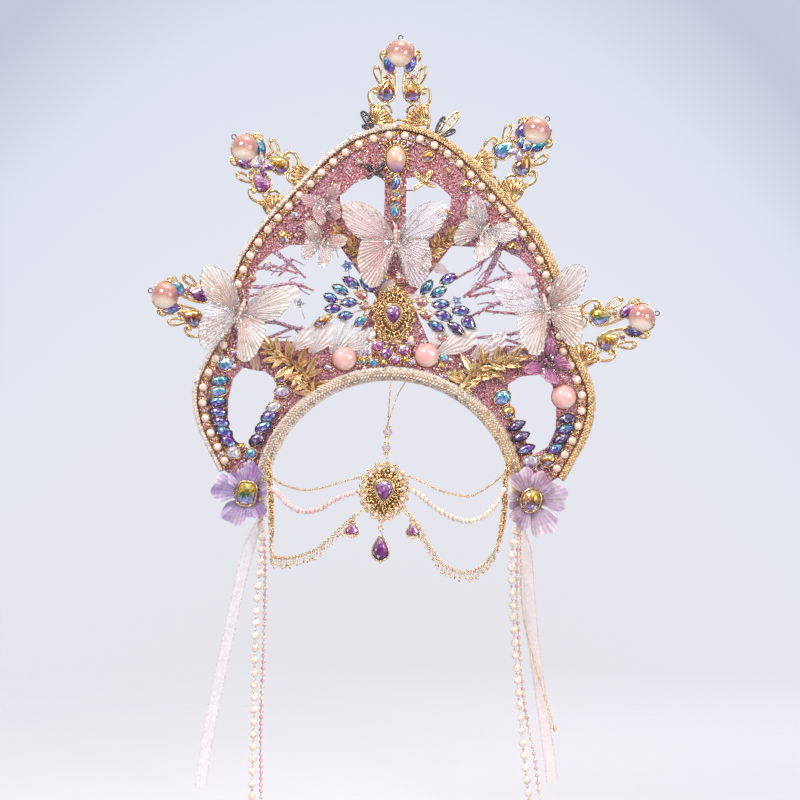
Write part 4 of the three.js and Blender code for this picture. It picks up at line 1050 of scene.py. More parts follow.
# Twigs of the cut-out tracery: widths at root and tip, and the course in X and Z
TWIGS = [
    (3.4, 1.2, [(-94, 97), (-77, 84), (-64, 73)]), (2, 1, [(-74, 87), (-80, 78), (-84, 74)]),
    (2.2, 1.2, [(-103, 78), (-88, 81), (-70, 76)]), (2.4, 1.2, [(-108, 66), (-90, 66), (-74, 69), (-58, 64)]),
    (2, 1, [(-108, 58), (-94, 62), (-80, 60)]), (3.2, 1.4, [(-110, 40), (-88, 41), (-67, 36), (-48, 37)]),
    (2.2, 1.4, [(-100, 25), (-86, 31), (-73, 36.5)]), (4.2, 1.4, [(78, 101), (64, 72), (51, 62)]),
    (2.4, 1.2, [(76, 98), (60, 84), (44, 74)]), (2.4, 1.4, [(104, 79), (84, 77), (70, 73), (50, 61)]),
    (2, 1.2, [(86, 78), (79, 81), (75, 85)]), (2.6, 1.2, [(107, 72), (90, 66), (74, 66), (54, 61.5)]),
    (3.6, 1.4, [(109, 64), (90, 62), (74, 57), (55, 47)]), (2, 1.2, [(110, 50), (88, 50), (66, 51.5)]),
    (2.8, 1.4, [(109, 41), (96, 37.5), (76, 34), (56, 31.5)]), (2, 1.2, [(100, 25), (89, 29), (76, 33)]),
]


def twigs():
    """Knobbly glitter-coated twigs over the flat ones of the board."""
    shape = Shape(5)
    for root, tip, course in TWIGS:
        line = spline([(x, 0, z) for x, z in course], 34)
        share = np.linspace(0, 1, len(line))
        rough = shape.rng.normal(0, 0.09, len(line)) + 0.12 * np.sin(share * 40)
        radius = (root * (1 - share) + tip * share) / 2 * (1.16 + rough) + 0.15
        shape.add(tube(line, radius, 9), None, "twig")
        for _ in range(1 if len(course) < 4 else 2):
            k = int(shape.rng.integers(5, 26))
            way = (line[k + 1] - line[k]) / np.linalg.norm(line[k + 1] - line[k])
            side = np.array((way[2], 0, -way[0])) * shape.rng.choice((-1, 1))
            reach = shape.rng.uniform(9, 15)
            bent = [line[k], line[k] + way * 0.4 * reach + side * 0.28 * reach,
                    line[k] + way * reach + side * 0.42 * reach]
            shape.add(tube(spline(bent, 10), np.linspace(0.72, 0.36, 11), 7), None, "twig")
        for _ in range(3):
            k = int(shape.rng.integers(6, 30))
            way = line[k + 1] - line[k]
            side = np.array((way[2], 0, -way[0])) * shape.rng.choice((-1, 1))
            end = line[k] + way * 2.4 + side * 1.6
            thorn = [line[k], (line[k] + end) / 2 + way * 0.5, end]
            shape.add(tube(thorn, [0.6, 0.5, 0.25], 6), None, "twig")
    place_piece("tracery_twigs", shape, "glitter")


headband()
headband_cords()
board()
twigs()
edge_braid("left", 0.0, 0.5, "ivory_thread", (1.0, 0.95, 0.90))
edge_braid("right", 0.5, 1.0, "gold_thread", (1.0, 0.88, 0.66))
pearl_edging("left", 0.0, 0.5)
pearl_edging("right", 0.5, 1.0)


# ---------------------------------------------------------------- finials

FINIAL_REACH = 49.0  # base of a finial to the centre of its ball
BALL_RADIUS = 10.0
FINIALS = [  # the last two fields: palettes of the middle stones and the marquises, left then right
    dict(name="top", x=1.2, z=235.8, heading=90, reach=49, middle=("ember", "amber"),
         marquise=("blue_violet", "violet_blue")),
    dict(name="upper_left", x=-110.1, z=166.2, heading=136, reach=47, middle=("magenta", "amber"),
         marquise=("purple", "teal"), cross=("lilac", "purple")),
    dict(name="upper_right", x=100.6, z=181.4, heading=50, reach=46, middle=("sea", "ember"),
         marquise=("violet_blue", "teal"), cross=("blue_violet", "lilac")),
    dict(name="lower_left", x=-166.1, z=58.5, heading=163, reach=43, middle=("ember", "purple"),
         marquise=("violet_blue", "sea")),
    dict(name="lower_right", x=178.3, z=48.7, heading=18, reach=50, middle=("meadow", "amber"),
         marquise=("purple", "night")),
]
# Wires of a finial's right wing: thickness, then places across and up from the edge braid
WING_WIRES = [
    (0.85, [(5.7, 44.5), (3.9, 38), (2.6, 29), (2.7, 21.5), (4.6, 16.6), (9.6, 12.6), (14.3, 10.6)]),
    (1.05, [(14.3, 10.6), (19.6, 12.4), (22.0, 17.6), (21.4, 22), (18.2, 24.4), (15.2, 22.6), (16.2, 19.8)]),
    (0.75, [(13.2, 26.4), (16.6, 31.2), (18.6, 36.4), (17.6, 40.2), (14.6, 38.4), (12.9, 32.4),
            (13.2, 26.4)]),
    (0.75, [(12.4, 43.8), (14.2, 47), (13.6, 50.2), (11.3, 51.2), (10.6, 48.4)]),
    (0.7, [(4.9, 31.5), (8.4, 32.6), (12.4, 32.2)]), (0.7, [(13.4, 16.4), (14.8, 13.4), (14.3, 10.6)]),
    (0.85, [(14.3, 10.6), (18.8, 10.4), (21.4, 5), (21.2, -2), (20, -6)]),
    (0.7, [(9.6, 12.6), (6.4, 10.4), (5, 6.4)]),
]
WING_BALLS = [(17.6, 21.0, 1.9), (17.0, 38.9, 1.7), (18.8, 1.0, 1.9), (12.2, 48.6, 1.5), (13.1, 31.8, 1.1),
              (4.4, 33.4, 1.0), (21.2, 12.2, 1.0), (14.4, 25.6, 1.2)]


def shell_fan(shape, matrix):
    """Ribbed shell on the braid: its ribs spread up and inwards from its outer corner."""
    rows, cols = 8, 57
    reach = np.linspace(0.04, 1, rows)[:, None]
    swing = np.linspace(0, 1, cols)[None, :]
    angle = np.radians(84 + 104 * swing)
    radius = (12.4 + 3.0 * swing) * reach * (1 + 0.05 * np.abs(np.sin(math.pi * swing * 8)) * reach)
    bulge = 2.2 * np.sin(math.pi * reach * 0.82) + 0.75 * np.abs(np.sin(math.pi * swing * 8)) * reach
    points = np.stack([19.6 + radius * np.cos(angle), -2.2 + radius * np.sin(angle), bulge], -1)
    # The back layer is deep gold: painted shade on the shell's underside.
    for layer, finish in ((points, "gold"), (points * (1, 1, -0.35), "deep_gold")):
        skin, faces = grid(layer)
        shape.add((moved(matrix, skin), faces), None, finish)
    # Deep gold tubes in the grooves between the ribs: painted shade.
    for k in range(9):
        column = points[:, round(k * (cols - 1) / 8)]
        groove = moved(matrix, column + (0, 0, 0.1))
        shape.add(tube(groove, np.linspace(0.3, 0.5, rows), 5), None, "deep_gold")
    for k in range(8):
        crest = points[:, round((k + 0.5) * (cols - 1) / 8)]
        shape.add(tube(moved(matrix, crest), np.linspace(0.35, 0.72, rows), 6), None, "gold")
    shape.add(tube(moved(matrix, points[-1]), 0.55, 5), None, "gold")
    shape.bead(moved(matrix, (19.6, -1.6, 1.6)), 1.7, sides=12, rings=8)


def finial(row):
    """Two mirrored wings of wire curls, each with a marquise, a large stone and a shell."""
    shape = Shape(10 + FINIALS.index(row))
    grow = row["reach"] / FINIAL_REACH
    heading = math.radians(row["heading"])
    base = (row["x"] - row["reach"] * math.cos(heading), row["z"] - row["reach"] * math.sin(heading))
    frame_place = facing(*base, y=0.0, turn=row["heading"] - 90)
    for side, middle, marquise in zip((-1, 1), row["middle"], row["marquise"]):
        half = frame_place @ np.diag((side, grow, 1.0, 1.0))
        for thick, course in WING_WIRES:
            arch = [(u, v, 0.5 * math.sin(math.pi * k / (len(course) - 1)))
                    for k, (u, v) in enumerate(course)]
            shape.wire(half, arch, thick, steps=5 * (len(course) - 1), sides=7)
            # A thinner deep gold copy of each wire, set behind it and a little down and out: painted shade
            # under the wire.
            under = [(u + 0.5, v - 0.5, w - 0.9) for u, v, w in arch]
            shape.wire(half, under, 0.8 * thick, "deep_gold", steps=4 * (len(course) - 1), sides=6)
        for u, v, radius in WING_BALLS:
            shape.bead(moved(half, (u, v, 0.6)), radius, sides=12, rings=8)
        for k in range(14):  # granules up the inner rim
            share = k / 13
            at = (3.9 + 1.2 * math.sin(share * 5) + 0.5, 17 + 26 * share, 0.7)
            shape.bead(moved(half, at), 0.62, sides=6, rings=4)
        shape.stone(frame_place @ local(side * 7.8, 40.6 * grow, -0.2, 90 - side * 26),
                    "marquise", 15.4, 7.8, 3.2, marquise, sides=12, rim_thick=0.55)
        shape.stone(frame_place @ local(side * 9.0, 22.2 * grow, -0.6, 90 + side * 10),
                    "pear", 16.4, 12.2, 4.2, middle, sides=12, rim_thick=0.7)
        shape.stone(frame_place @ local(side * 9.0, 32.0 * grow, 0.2), "oval", 3.4, 3.4, 2.0,
                    "coral" if side < 0 else "magenta", sides=6, rim_thick=0.45)
        shell_fan(shape, frame_place @ np.diag((side, 1.0, 1.0, 1.0)))
        crossing = zip((33.4, 25.6), (90 - side * 34, 90 + side * 42), row.get("cross", ()))
        for v, turn, palette in crossing:
            shape.stone(frame_place @ local(side * 2.7, v * grow, 1.5, turn),
                        "marquise", 9.6, 5.0, 2.6, palette, sides=9, rim_thick=0.4)
        cup = [(8.6, 44.6, 1.2), (10.6, 47.6, 1.6), (11.0, 51.0, 1.0)]
        shape.wire(half, cup, 0.7, steps=8)
    shape.wire(frame_place, [(-7, -1.0, -0.4), (0, 1.2, -0.4), (7, -1.0, -0.4)], 0.9, steps=12)
    place_piece(f"finial_{row['name']}", shape, "gold", [f"finial_frame_{row['name']}"])


def finial_ball(row):
    """Cat's-eye ball: brown-peach with painted light, a pale glow on its lower side, in a bezel with gold
    grains.
    """
    shape = Shape(20 + FINIALS.index(row))
    points, faces = ball(40, 24)
    centre = np.array((row["x"], 0.0, row["z"]))
    place = shift(*centre, size=BALL_RADIUS) @ aimed((0, 0, 0), (0, -1, 0))
    outward = (moved(place, points) - centre) / BALL_RADIUS
    # Painted light: the ball pales towards its lower front.
    low = -outward @ np.array((0.1, 0.35, 0.93))
    glow = np.clip((low - 0.30) * 2.2, 0, 1)[:, None] ** 1.2
    band = np.exp(-((low - 0.05) / 0.3) ** 2)[:, None]
    tone = mix((0.62, 0.34, 0.26), (0.52, 0.26, 0.24), band)
    shape.add((points, faces), place, "cats_eye", mix(tone, (0.98, 0.88, 0.74), glow))
    heading = math.radians(row["heading"])
    out = np.array((math.cos(heading), 0, math.sin(heading)))
    side = np.array((-out[2], 0, out[0]))
    for sign in (-1, 1):  # bezel arms up both flanks, with a row of grains on each
        swing = np.linspace(0.25, 2.35, 15)
        arm = [centre + (BALL_RADIUS + 0.35) * (side * sign * math.sin(t) - out * math.cos(t)) for t in swing]
        shape.add(tube(arm, np.linspace(0.9, 0.45, 15), 6), None, "deep_gold")
        for at in even(np.array(arm), 17):
            shape.bead(at + (0, -0.8, 0), 0.55, sides=6, rings=4)
    for _ in range(60):  # gold grains dusted over the outer flank
        a, b = shape.rng.uniform(-1.3, 1.3), shape.rng.uniform(-0.7, 0.9)
        way = out * math.cos(a) * math.cos(b) + side * math.sin(a) * math.cos(b)
        way = way + np.array((0, -1, 0)) * math.sin(b) ** 2
        way /= np.linalg.norm(way)
        shape.bead(centre + way * (BALL_RADIUS - 0.05), shape.rng.uniform(0.18, 0.42), sides=5, rings=3)
    tip = centre + out * (BALL_RADIUS + 1.4)
    shape.add(torus(0.26, 14, 6), aimed(tip, (0, -1, 0), 1.6), "dark_wire")
    place_piece(f"finial_ball_{row['name']}_stone", shape, "catsEye", [f"finial_ball_{row['name']}"])


# Openwork wing for a length of 1: outline, then its veins
OPEN_WING = [(0, 0), (0.3, 0.13), (0.7, 0.2), (0.97, 0.17),
             (1.0, 0.07), (0.8, -0.04), (0.45, -0.09), (0.1, -0.05)]
OPEN_VEINS = [[(0.05, 0), (0.45, 0.05), (0.95, 0.12)], [(0.42, 0.16), (0.52, 0.05), (0.5, -0.08)],
              [(0.72, 0.2), (0.78, 0.09), (0.74, -0.04)]]
# Place, turn, length and finish of each
BRAID_WINGS = [(-16.5, 179.8, 117, 16, "dark_wire"), (-15.5, 179.0, 150, 10, "dark_wire"),
               (29.5, 176.8, 42, 22, "gold"), (29.8, 176.0, 14, 13, "dark_wire"),
               (27.8, 177.2, 58, 14, "dark_wire"), (20.5, 143, 52, 10, "gold"),
               (20.5, 143, 128, 10, "gold"), (20.5, 143, -28, 8, "gold"), (20.5, 143, 208, 8, "gold"),
               (-15, 150, 40, 9, "dark_wire"), (-15, 150, 140, 9, "dark_wire"),
               (-15, 150, -38, 7, "dark_wire"), (-15, 150, 218, 7, "dark_wire")]
CHARM_STEMS = [((20.5, -4.2, 143), (7, -2.9, 137)), ((-15, -4.2, 150), (0, -2.9, 143))]


def wire_wings():
    """Small openwork wings of wire on the braid beside the top finial."""
    shape = Shape(30)
    for x, z, turn, length, finish in BRAID_WINGS:
        m = facing(x, z, y=-4.2, turn=turn, scale=length)
        shape.wire(m, OPEN_WING, 0.8, finish, closed=True, steps=30)
        for vein in OPEN_VEINS:
            shape.wire(m, vein, 0.5, finish, steps=8)
        shape.bead((x, -4.6, z), 1.2, "gold", sides=10, rings=7)
        shape.bead(moved(m, (0.98, 0.12, 0)), 0.75, finish)
    for top, foot in CHARM_STEMS:  # two of the charms stand on wires over the upper openings
        shape.add(tube([top, ((top[0] + foot[0]) / 2, -4.4, foot[2]), foot], 0.5, 6), None, "deep_gold")
    place_piece("braid_wire_wings", shape, "gold")


for finial_row in FINIALS:
    finial(finial_row)
    finial_ball(finial_row)
wire_wings()


# ---------------------------------------------------------------- medallions

def filigree(shape, matrix, half_u, half_v, thick, outline, loops, rows):
    """Openwork of wire loops, curls and grains between an outer edge and the stone's collar."""
    def at(angle, share, w=0.0):
        """The point at an angle, at a share of the way from the middle to the edge."""
        u, v = outline(angle)
        return (half_u * share * u, half_v * share * v, w)

    # Two deep gold plates behind the openwork darken its holes: painted shade.
    plate = [at(a, 0.8, -0.2) for a in np.linspace(0, 2 * math.pi, 48, endpoint=False)]
    inner = [at(a, 0.3, -0.2) for a in np.linspace(0, 2 * math.pi, 48, endpoint=False)]
    shape.add(grid(np.array([plate, inner]), False, True), matrix, "deep_gold")
    shape.add(grid(np.array([np.array(plate) + (0, 0, 1.0), np.array(inner) + (0, 0, 1.3)]), False, True),
              matrix, "deep_gold")
    for k, angle in enumerate(turns(loops, 0.5)):
        u, v, _ = at(angle, 0.87)
        spin = math.degrees(math.atan2(v, u))
        loop = matrix @ local(u, v, 0.5 * thick, spin)
        shape.ring(loop, 0.13 * half_v, 0.5, sides=14, size=(0.95, 0.8))
        shape.ring(loop @ local(0, 0, 0.3), 0.055 * half_v, 0.42, sides=9)
        tip = at(angle, 1.0 - 0.02 * (k % 2), 0.5 * thick)
        shape.bead(moved(matrix, tip), 0.85, sides=8)
        shape.bead(moved(matrix, at(angle + math.pi / loops, 0.9, 0.5 * thick)), 0.95, sides=8)
    for share, count, radius, lift in rows:
        for angle in turns(count):
            u, v, _ = at(angle, share)
            jitter = shape.rng.uniform(-0.15, 0.15, 2)
            shape.bead(moved(matrix, (u + jitter[0], v + jitter[1], lift)), radius, sides=7, rings=4)
    for k, angle in enumerate(turns(2 * loops)):
        way = 1 if k % 2 else -1
        curl = [at(angle + way * s * 0.16, 0.8 - 0.22 * s, 0.6 * thick + 0.5 * s)
                for s in np.linspace(0, 1, 5)]
        shape.wire(matrix, curl, 0.38, steps=7, sides=5)


def collar(shape, matrix, cut, length, width, lift, rows=2):
    """Rope and bead rims round a medallion's stone."""
    for k in range(rows):
        grow = 0.9 + 1.5 * k
        edge = np.array([CUTS[cut](a) for a in turns(40, 0.5)])
        loop = np.stack([edge[:, 0] * (length / 2 + grow), edge[:, 1] * (width / 2 + grow),
                         np.full(40, lift - 0.5 * k)], -1)
        if k == 0:
            shape.add(tube(moved(matrix, loop), 0.6, 6, closed=True), None, "gold")
        else:
            shape.beads(even(np.vstack([loop, loop[:1]]), 30)[:-1], 0.72, sides=7, rings=4, matrix=matrix)


def centre_medallion():
    """Oval filigree with a dark purple pear, point down."""
    shape = Shape(40)
    m = facing(0.5, 47.5)
    filigree(shape, m, 15.2, 21.2, 3.0, CUTS["oval"], 18,
             [(0.74, 34, 0.75, 2.0), (0.6, 28, 0.8, 2.6), (0.97, 26, 0.6, 1.2)])
    stone_place = m @ local(0, 0, 1.6, -90)
    shape.stone(stone_place, "pear", 14.4, 10.8, 4.4, "purple", sides=12, rim_thick=0.7)
    collar(shape, stone_place, "pear", 14.4, 10.8, 1.4, rows=3)
    place_piece("medallion_centre", shape, "gold", ["centre_medallion"])


centre_medallion()


# ---------------------------------------------------------------- stones on the board

# Cut, x, z, turn, length, width, stone it hangs from (or -1 for the hub), palette
SPRAYS = {
    "left": dict(hub=(-19, 51), root=(-12, 54.8), stones=[
        ("marquise", -30.4, 69.9, -29, 14.4, 6.6, 4, "violet_blue"),
        ("marquise", -18.6, 68.2, -42, 14.4, 6.6, 8, "blue_violet"),
        ("marquise", -38.1, 64.7, -27, 13.5, 6.2, 3, "teal"),
        ("marquise", -31.6, 55.5, 4, 13, 6.4, 8, "blue_violet"),
        ("pear", -23.4, 61.6, 160, 10, 6.4, 8, "coral"),
        ("marquise", -43.2, 51, 4, 12.6, 6, 3, "violet_blue"),
        ("marquise", -34.1, 46, 8, 11.4, 5.8, -1, "blue_violet"),
        ("marquise", -22.6, 42.4, 40, 13, 6.4, -1, "sea"),
        ("oval", -20.4, 53.4, 0, 6.5, 6, -1, "coral"),
        ("marquise", -45, 58.6, -27, 11.4, 6, 3, "blue_violet"),
        ("marquise", -50.2, 42.2, 34, 16, 6.2, 6, "amber")]),
    "right": dict(hub=(20.5, 52), root=(13, 51), stones=[
        ("marquise", 24.2, 67.5, 52, 13.4, 6.4, 8, "teal"),
        ("marquise", 39.5, 73.8, 26, 13.4, 6.6, 2, "violet_blue"),
        ("marquise", 32.7, 64.1, 30, 13.4, 6.4, 8, "teal"),
        ("marquise", 34.6, 55.4, 6, 13.2, 6.6, 8, "blue_violet"),
        ("marquise", 48.8, 51, 0, 13.6, 6.6, 3, "violet_blue"),
        ("marquise", 36.8, 47.2, -20, 13.4, 6.6, 9, "violet_blue"),
        ("marquise", 31.4, 39.6, -26, 13.4, 6.2, 9, "blue_violet"),
        ("marquise", 45.6, 38.4, -34, 14.4, 6.6, 5, "night"),
        ("oval", 21.2, 57.2, 0, 8, 7, -1, "coral"),
        ("pear", 23.6, 48, 170, 9.6, 7.4, -1, "coral"),
        ("pear", 55.4, 42.2, -40, 12, 8, 4, "violet_blue")]),
}


def spray(side):
    """A fan of marquises on fine wires beside the centre medallion."""
    shape = Shape(50)
    row = SPRAYS[side]
    back = SEAT - 3.3
    hub, root = row["hub"], row["root"]
    for cut, x, z, turn, length, width, to, palette in row["stones"]:
        rim = "dark_wire" if palette in ("violet_blue", "blue_violet", "teal", "night") else "gold"
        shape.stone(facing(x, z, back, turn), cut, length, width, 3.2, palette,
                    sides=8, rim=rim, rim_thick=0.42)
        for sign in (-1, 1):  # gold claws over the two points
            end_ball = local(sign * length * 0.47, 0, 1.9, size=(1.0, 0.7, 0.7))
            shape.add(ball(6, 4), facing(x, z, back, turn) @ end_ball, "gold")
        end = hub if to < 0 else row["stones"][to][1:3]
        middle = ((x + end[0]) / 2, back - 0.2, (z + end[1]) / 2 + 0.6)
        arm = spline([(x, back + 0.2, z), middle, (end[0], back + 0.2, end[1])], 8)
        shape.add(tube(arm, 0.5, 5), None, "gold")
    shape.add(tube([(hub[0], back + 0.2, hub[1]), (root[0], SEAT - 0.9, root[1])], 0.9, 6), None, "gold")
    for k in range(6):
        a = k * 1.05
        shape.bead((hub[0] + 1.7 * math.cos(a), back - 0.5, hub[1] + 1.7 * math.sin(a)), 0.8)
    place_piece(f"spray_{side}", shape, "violetStone", [f"stone_spray_{side}"])


# Rows of stones along the side loops and under the medallion: x, z, turn, length, width, palette, cut
STONE_ROWS = {
    "loop_stones_outer_left": dict(backing=2.3, stones=[
        (-124.6, -2.6, 12, 12.5, 7, "teal", "oval"), (-125.4, -10.2, 6, 12.5, 7, "sea", "oval"),
        (-125.8, -17.8, 2, 12.5, 7, "blue_violet", "oval"),
        (-125, -25.2, -6, 12.5, 7, "violet_blue", "oval"),
        (-123.2, -32.4, -14, 12.5, 7, "violet_blue", "oval"),
        (-120.6, -39.4, -20, 12.5, 7, "blue_violet", "oval"),
        (-117.2, -46.2, -28, 12.5, 7, "violet_blue", "oval"), (-113, -54.4, -36, 11, 10, "frost", "pear")]),
    "loop_stones_inner_left": dict(backing=1.9, stones=[
        (-79.2, 0.6, 20, 11, 7.6, "amber", "oval"), (-78.6, -9.4, 10, 12, 8, "lilac", "oval"),
        (-84.6, -20.6, 30, 12, 7.6, "frost", "oval"), (-88.2, -27.4, 30, 12, 7.6, "violet_blue", "oval"),
        (-92.2, -35.4, 32, 12, 7.6, "blue_violet", "oval"), (-96.6, -44.4, 34, 12, 7.6, "night", "oval"),
        (-100.6, -54.8, 40, 9, 7.6, "sea", "oval")]),
    "loop_stones_outer_right": dict(backing=1.9, stones=[
        (126.6, -24.6, 8, 13, 7, "night", "marquise"), (125.4, -32.2, 16, 13, 7, "blue_violet", "marquise"),
        (122.4, -39.4, 24, 13, 7, "night", "marquise"), (118.6, -46.4, 30, 13, 7, "blue_violet", "marquise"),
        (113.4, -54.6, 24, 11.6, 9, "amber", "oval")]),
    "loop_stones_inner_right": dict(backing=1.9, stones=[
        (80, -10.6, 40, 12.5, 11, "sea", "oval"), (84.6, -20.8, 20, 9, 8, "amber", "oval"),
        (90.4, -30.6, 26, 14, 6.6, "night", "marquise"), (93.6, -38.4, 24, 14, 6.6, "night", "marquise"),
        (97.4, -47, 20, 14, 6.6, "violet_blue", "marquise"), (100.8, -56, 10, 12.5, 9, "lilac", "oval")]),
    "amethyst_cluster": dict(backing=1.4, stones=[
        (-10.6, 25, 0, 8.6, 8.2, "magenta", "cushion"), (-4, 19.4, 45, 8.6, 8.2, "purple", "cushion"),
        (2.5, 15, 0, 7, 7, "magenta", "cushion"), (8.6, 22, 0, 8.6, 8.2, "magenta", "cushion")]),
}


def stone_row(name):
    """Stones close together on a wire backing, in dark or gold rims."""
    shape = Shape(60)
    rows = STONE_ROWS[name]["stones"]
    line = [(x, SEAT - 0.7, z) for x, z, *_ in rows]
    shape.add(tube(spline(line, 6 * len(line)), STONE_ROWS[name]["backing"], 6, flat=0.3), None, "deep_gold")
    for x, z, turn, length, width, palette, cut in rows:
        rim = "gold" if palette in ("amber", "sea", "frost", "magenta", "purple", "lilac") else "dark_wire"
        m = facing(x, z, SEAT - 0.6, turn)
        shape.stone(m, cut, length, width, 3.2, palette, sides=10, rim=rim, rim_thick=0.5)
        for sign in (-1, 1):
            for end in (-1, 1):
                shape.claw(m, end * length * 0.3, sign * width * 0.44, 1.8, 0.6)
    place_piece(name + "_set", shape, "amethyst" if "amethyst" in name else "violetStone", [name])


# Loose stones over the board: x, z, turn, length, width, palette, cut
SCATTER = [
    (-80.6, 102, 60, 8.5, 7, "amber", "oval"), (-60.5, 111.1, 50, 8, 7, "amber", "oval"),
    (-35.5, 121.7, -24, 9.5, 6.4, "ember", "oval"), (23, 161.8, 30, 9, 7, "amber", "oval"),
    (50.9, 140.8, 40, 8, 6.5, "amber", "cushion"), (34.7, 120.3, -24, 9.5, 7.5, "meadow", "oval"),
    (54.2, 120.7, 12, 9, 7, "amber", "oval"), (85.1, 96.8, -50, 7.5, 7, "amber", "cushion"),
    (95.3, 24.3, 0, 7.5, 7.5, "amber", "cushion"), (-91.5, 81, 70, 6, 5, "lilac", "oval"),
    (-67.5, 132, 45, 5, 4, "magenta", "oval"), (66, 128, -40, 5.5, 4.5, "lilac", "oval"),
    (-8.5, 172, 20, 3.4, 3.4, "coral", "oval"), (10, 170, -10, 3.4, 3.4, "magenta", "oval"),
    (-18, 21, 10, 7.6, 7, "lilac", "cushion"), (-21.5, 13.6, 30, 6, 5.6, "meadow", "oval"),
    (-13.4, 12.6, -20, 7, 6.4, "sea", "cushion"), (-6.6, 12.2, 70, 8.4, 4.6, "amber", "marquise"),
    (10.4, 14.4, -60, 8.4, 4.6, "amber", "marquise"), (15.2, 13.8, 20, 5.4, 5.4, "lilac", "oval"),
    (13.8, 27.8, 0, 5, 5, "frost", "oval"), (-17, 29.5, 20, 5.4, 5, "coral", "oval"),
    (36, 31.4, -10, 9, 7, "coral", "oval"), (37.4, 17.6, 15, 7, 6.4, "sea", "cushion"),
    (36.2, 10.8, 40, 5, 5, "amber", "oval"), (44.6, 4.0, 0, 9, 8.6, "amber", "cushion"),
    (-46, 8.6, 0, 5, 5, "lilac", "oval"), (-6.5, 73.4, 20, 8, 7, "amber", "oval"),
    (5.4, 73, 0, 7.6, 7, "coral", "cushion"), (16.6, 84, 15, 7.6, 6.4, "frost", "oval"),
    (-18.2, 86, 0, 5, 5, "coral", "oval"), (-120.6, 9.6, 30, 10.5, 9.5, "sea", "cushion"),
    (-114.6, 17.4, 0, 6, 5.6, "magenta", "oval"), (-103, 16, 0, 5, 5, "amber", "oval"),
    (-44.4, 139, 30, 4.6, 4.6, "magenta", "oval"), (38, 151, 0, 4.6, 4.6, "coral", "oval"),
    (-27, 157, 0, 4.2, 4.2, "lilac", "oval"), (76, 113, 0, 5, 5, "coral", "oval"),
    (-72.6, 118, 0, 6, 5.6, "lilac", "cushion"), (-102.5, 71.6, 0, 4.6, 4.6, "coral", "oval"),
    (-107.5, -50, 0, 5.4, 5.4, "amber", "oval"), (-90, 12, 30, 5.5, 5, "magenta", "oval"),
    (74, 4, 0, 5, 5, "magenta", "oval"),
]
HALF_PEARL_PLACE = (28.4, 111)
# Beds of seed beads and chatons round the larger stones: middle x and z, width, height, count
SEED_BEDS = [
    (-2, 16, 30, 9, 150), (0, 27, 26, 6, 60), (-22, 16, 10, 12, 50), (40, 10, 12, 12, 60),
    (0, 76, 16, 7, 60), (-112, 14, 16, 10, 70), (96, 16, 16, 8, 40), (-100, -60, 12, 10, 60),
    (104, -60, 10, 10, 50), (-90, 6, 10, 10, 30), (0, 146, 8, 12, 50), (0, 172, 18, 5, 50),
    (-72, 108, 16, 12, 50), (78, 106, 16, 12, 50), (-104, 70, 6, 16, 30), (108, 74, 6, 16, 30),
    (0, 132, 6, 14, 30), (-78, -4, 5, 14, 30), (88, -22, 5, 16, 40),
]


def carried(point):
    """Whether the board lies behind a point."""
    start = Vector((point[0] * MM, -0.2, point[2] * MM))
    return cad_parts["crown_plate"].ray_cast(start, (0, 1, 0))[0]


# Ice-blue and silver flower charms: place, radius, tint
CHARMS = [(-33.5, 82, 5.2, (0.34, 0.46, 0.80)), (-68, 54, 5.0, (0.62, 0.64, 0.68)),
          (45.5, 58, 5.0, (0.50, 0.58, 0.86)), (74.5, 15.5, 4.6, (0.82, 0.86, 0.92)),
          (-43, 95, 3.4, (0.36, 0.44, 0.78)), (71, 29, 3.8, (0.80, 0.82, 0.86))]


def flower_charms():
    """Small five-petalled glass flowers on wires, among the twigs."""
    shape = Shape(76)
    for x, z, radius, tint in CHARMS:
        middle = facing(x, z, SEAT - 1.2)
        for k in range(5):
            m = middle @ local(0, 0, 0, 72 * k + x) @ local(lean=-18)
            points, faces = leaf(radius, radius * 0.62, 0.8)
            fade = np.clip(points[:, :1] / radius, 0, 1)
            light = np.clip(np.array(tint) * 1.3, 0, 1)
            shape.add((points, faces), m, "stone", mix(np.array(tint) * 0.55, light, fade))
        shape.bead((x, SEAT - 2.0, z), 0.9, "silver")
        hanger = [(x, SEAT - 0.8, z), (x * 0.97, SEAT + 0.4, z - radius),
                  (x * 0.94, SEAT + 0.6, z - 2.2 * radius)]
        shape.add(tube(hanger, 0.28, 5), None, "silver")
    place_piece("flower_charms", shape, "violetStone")


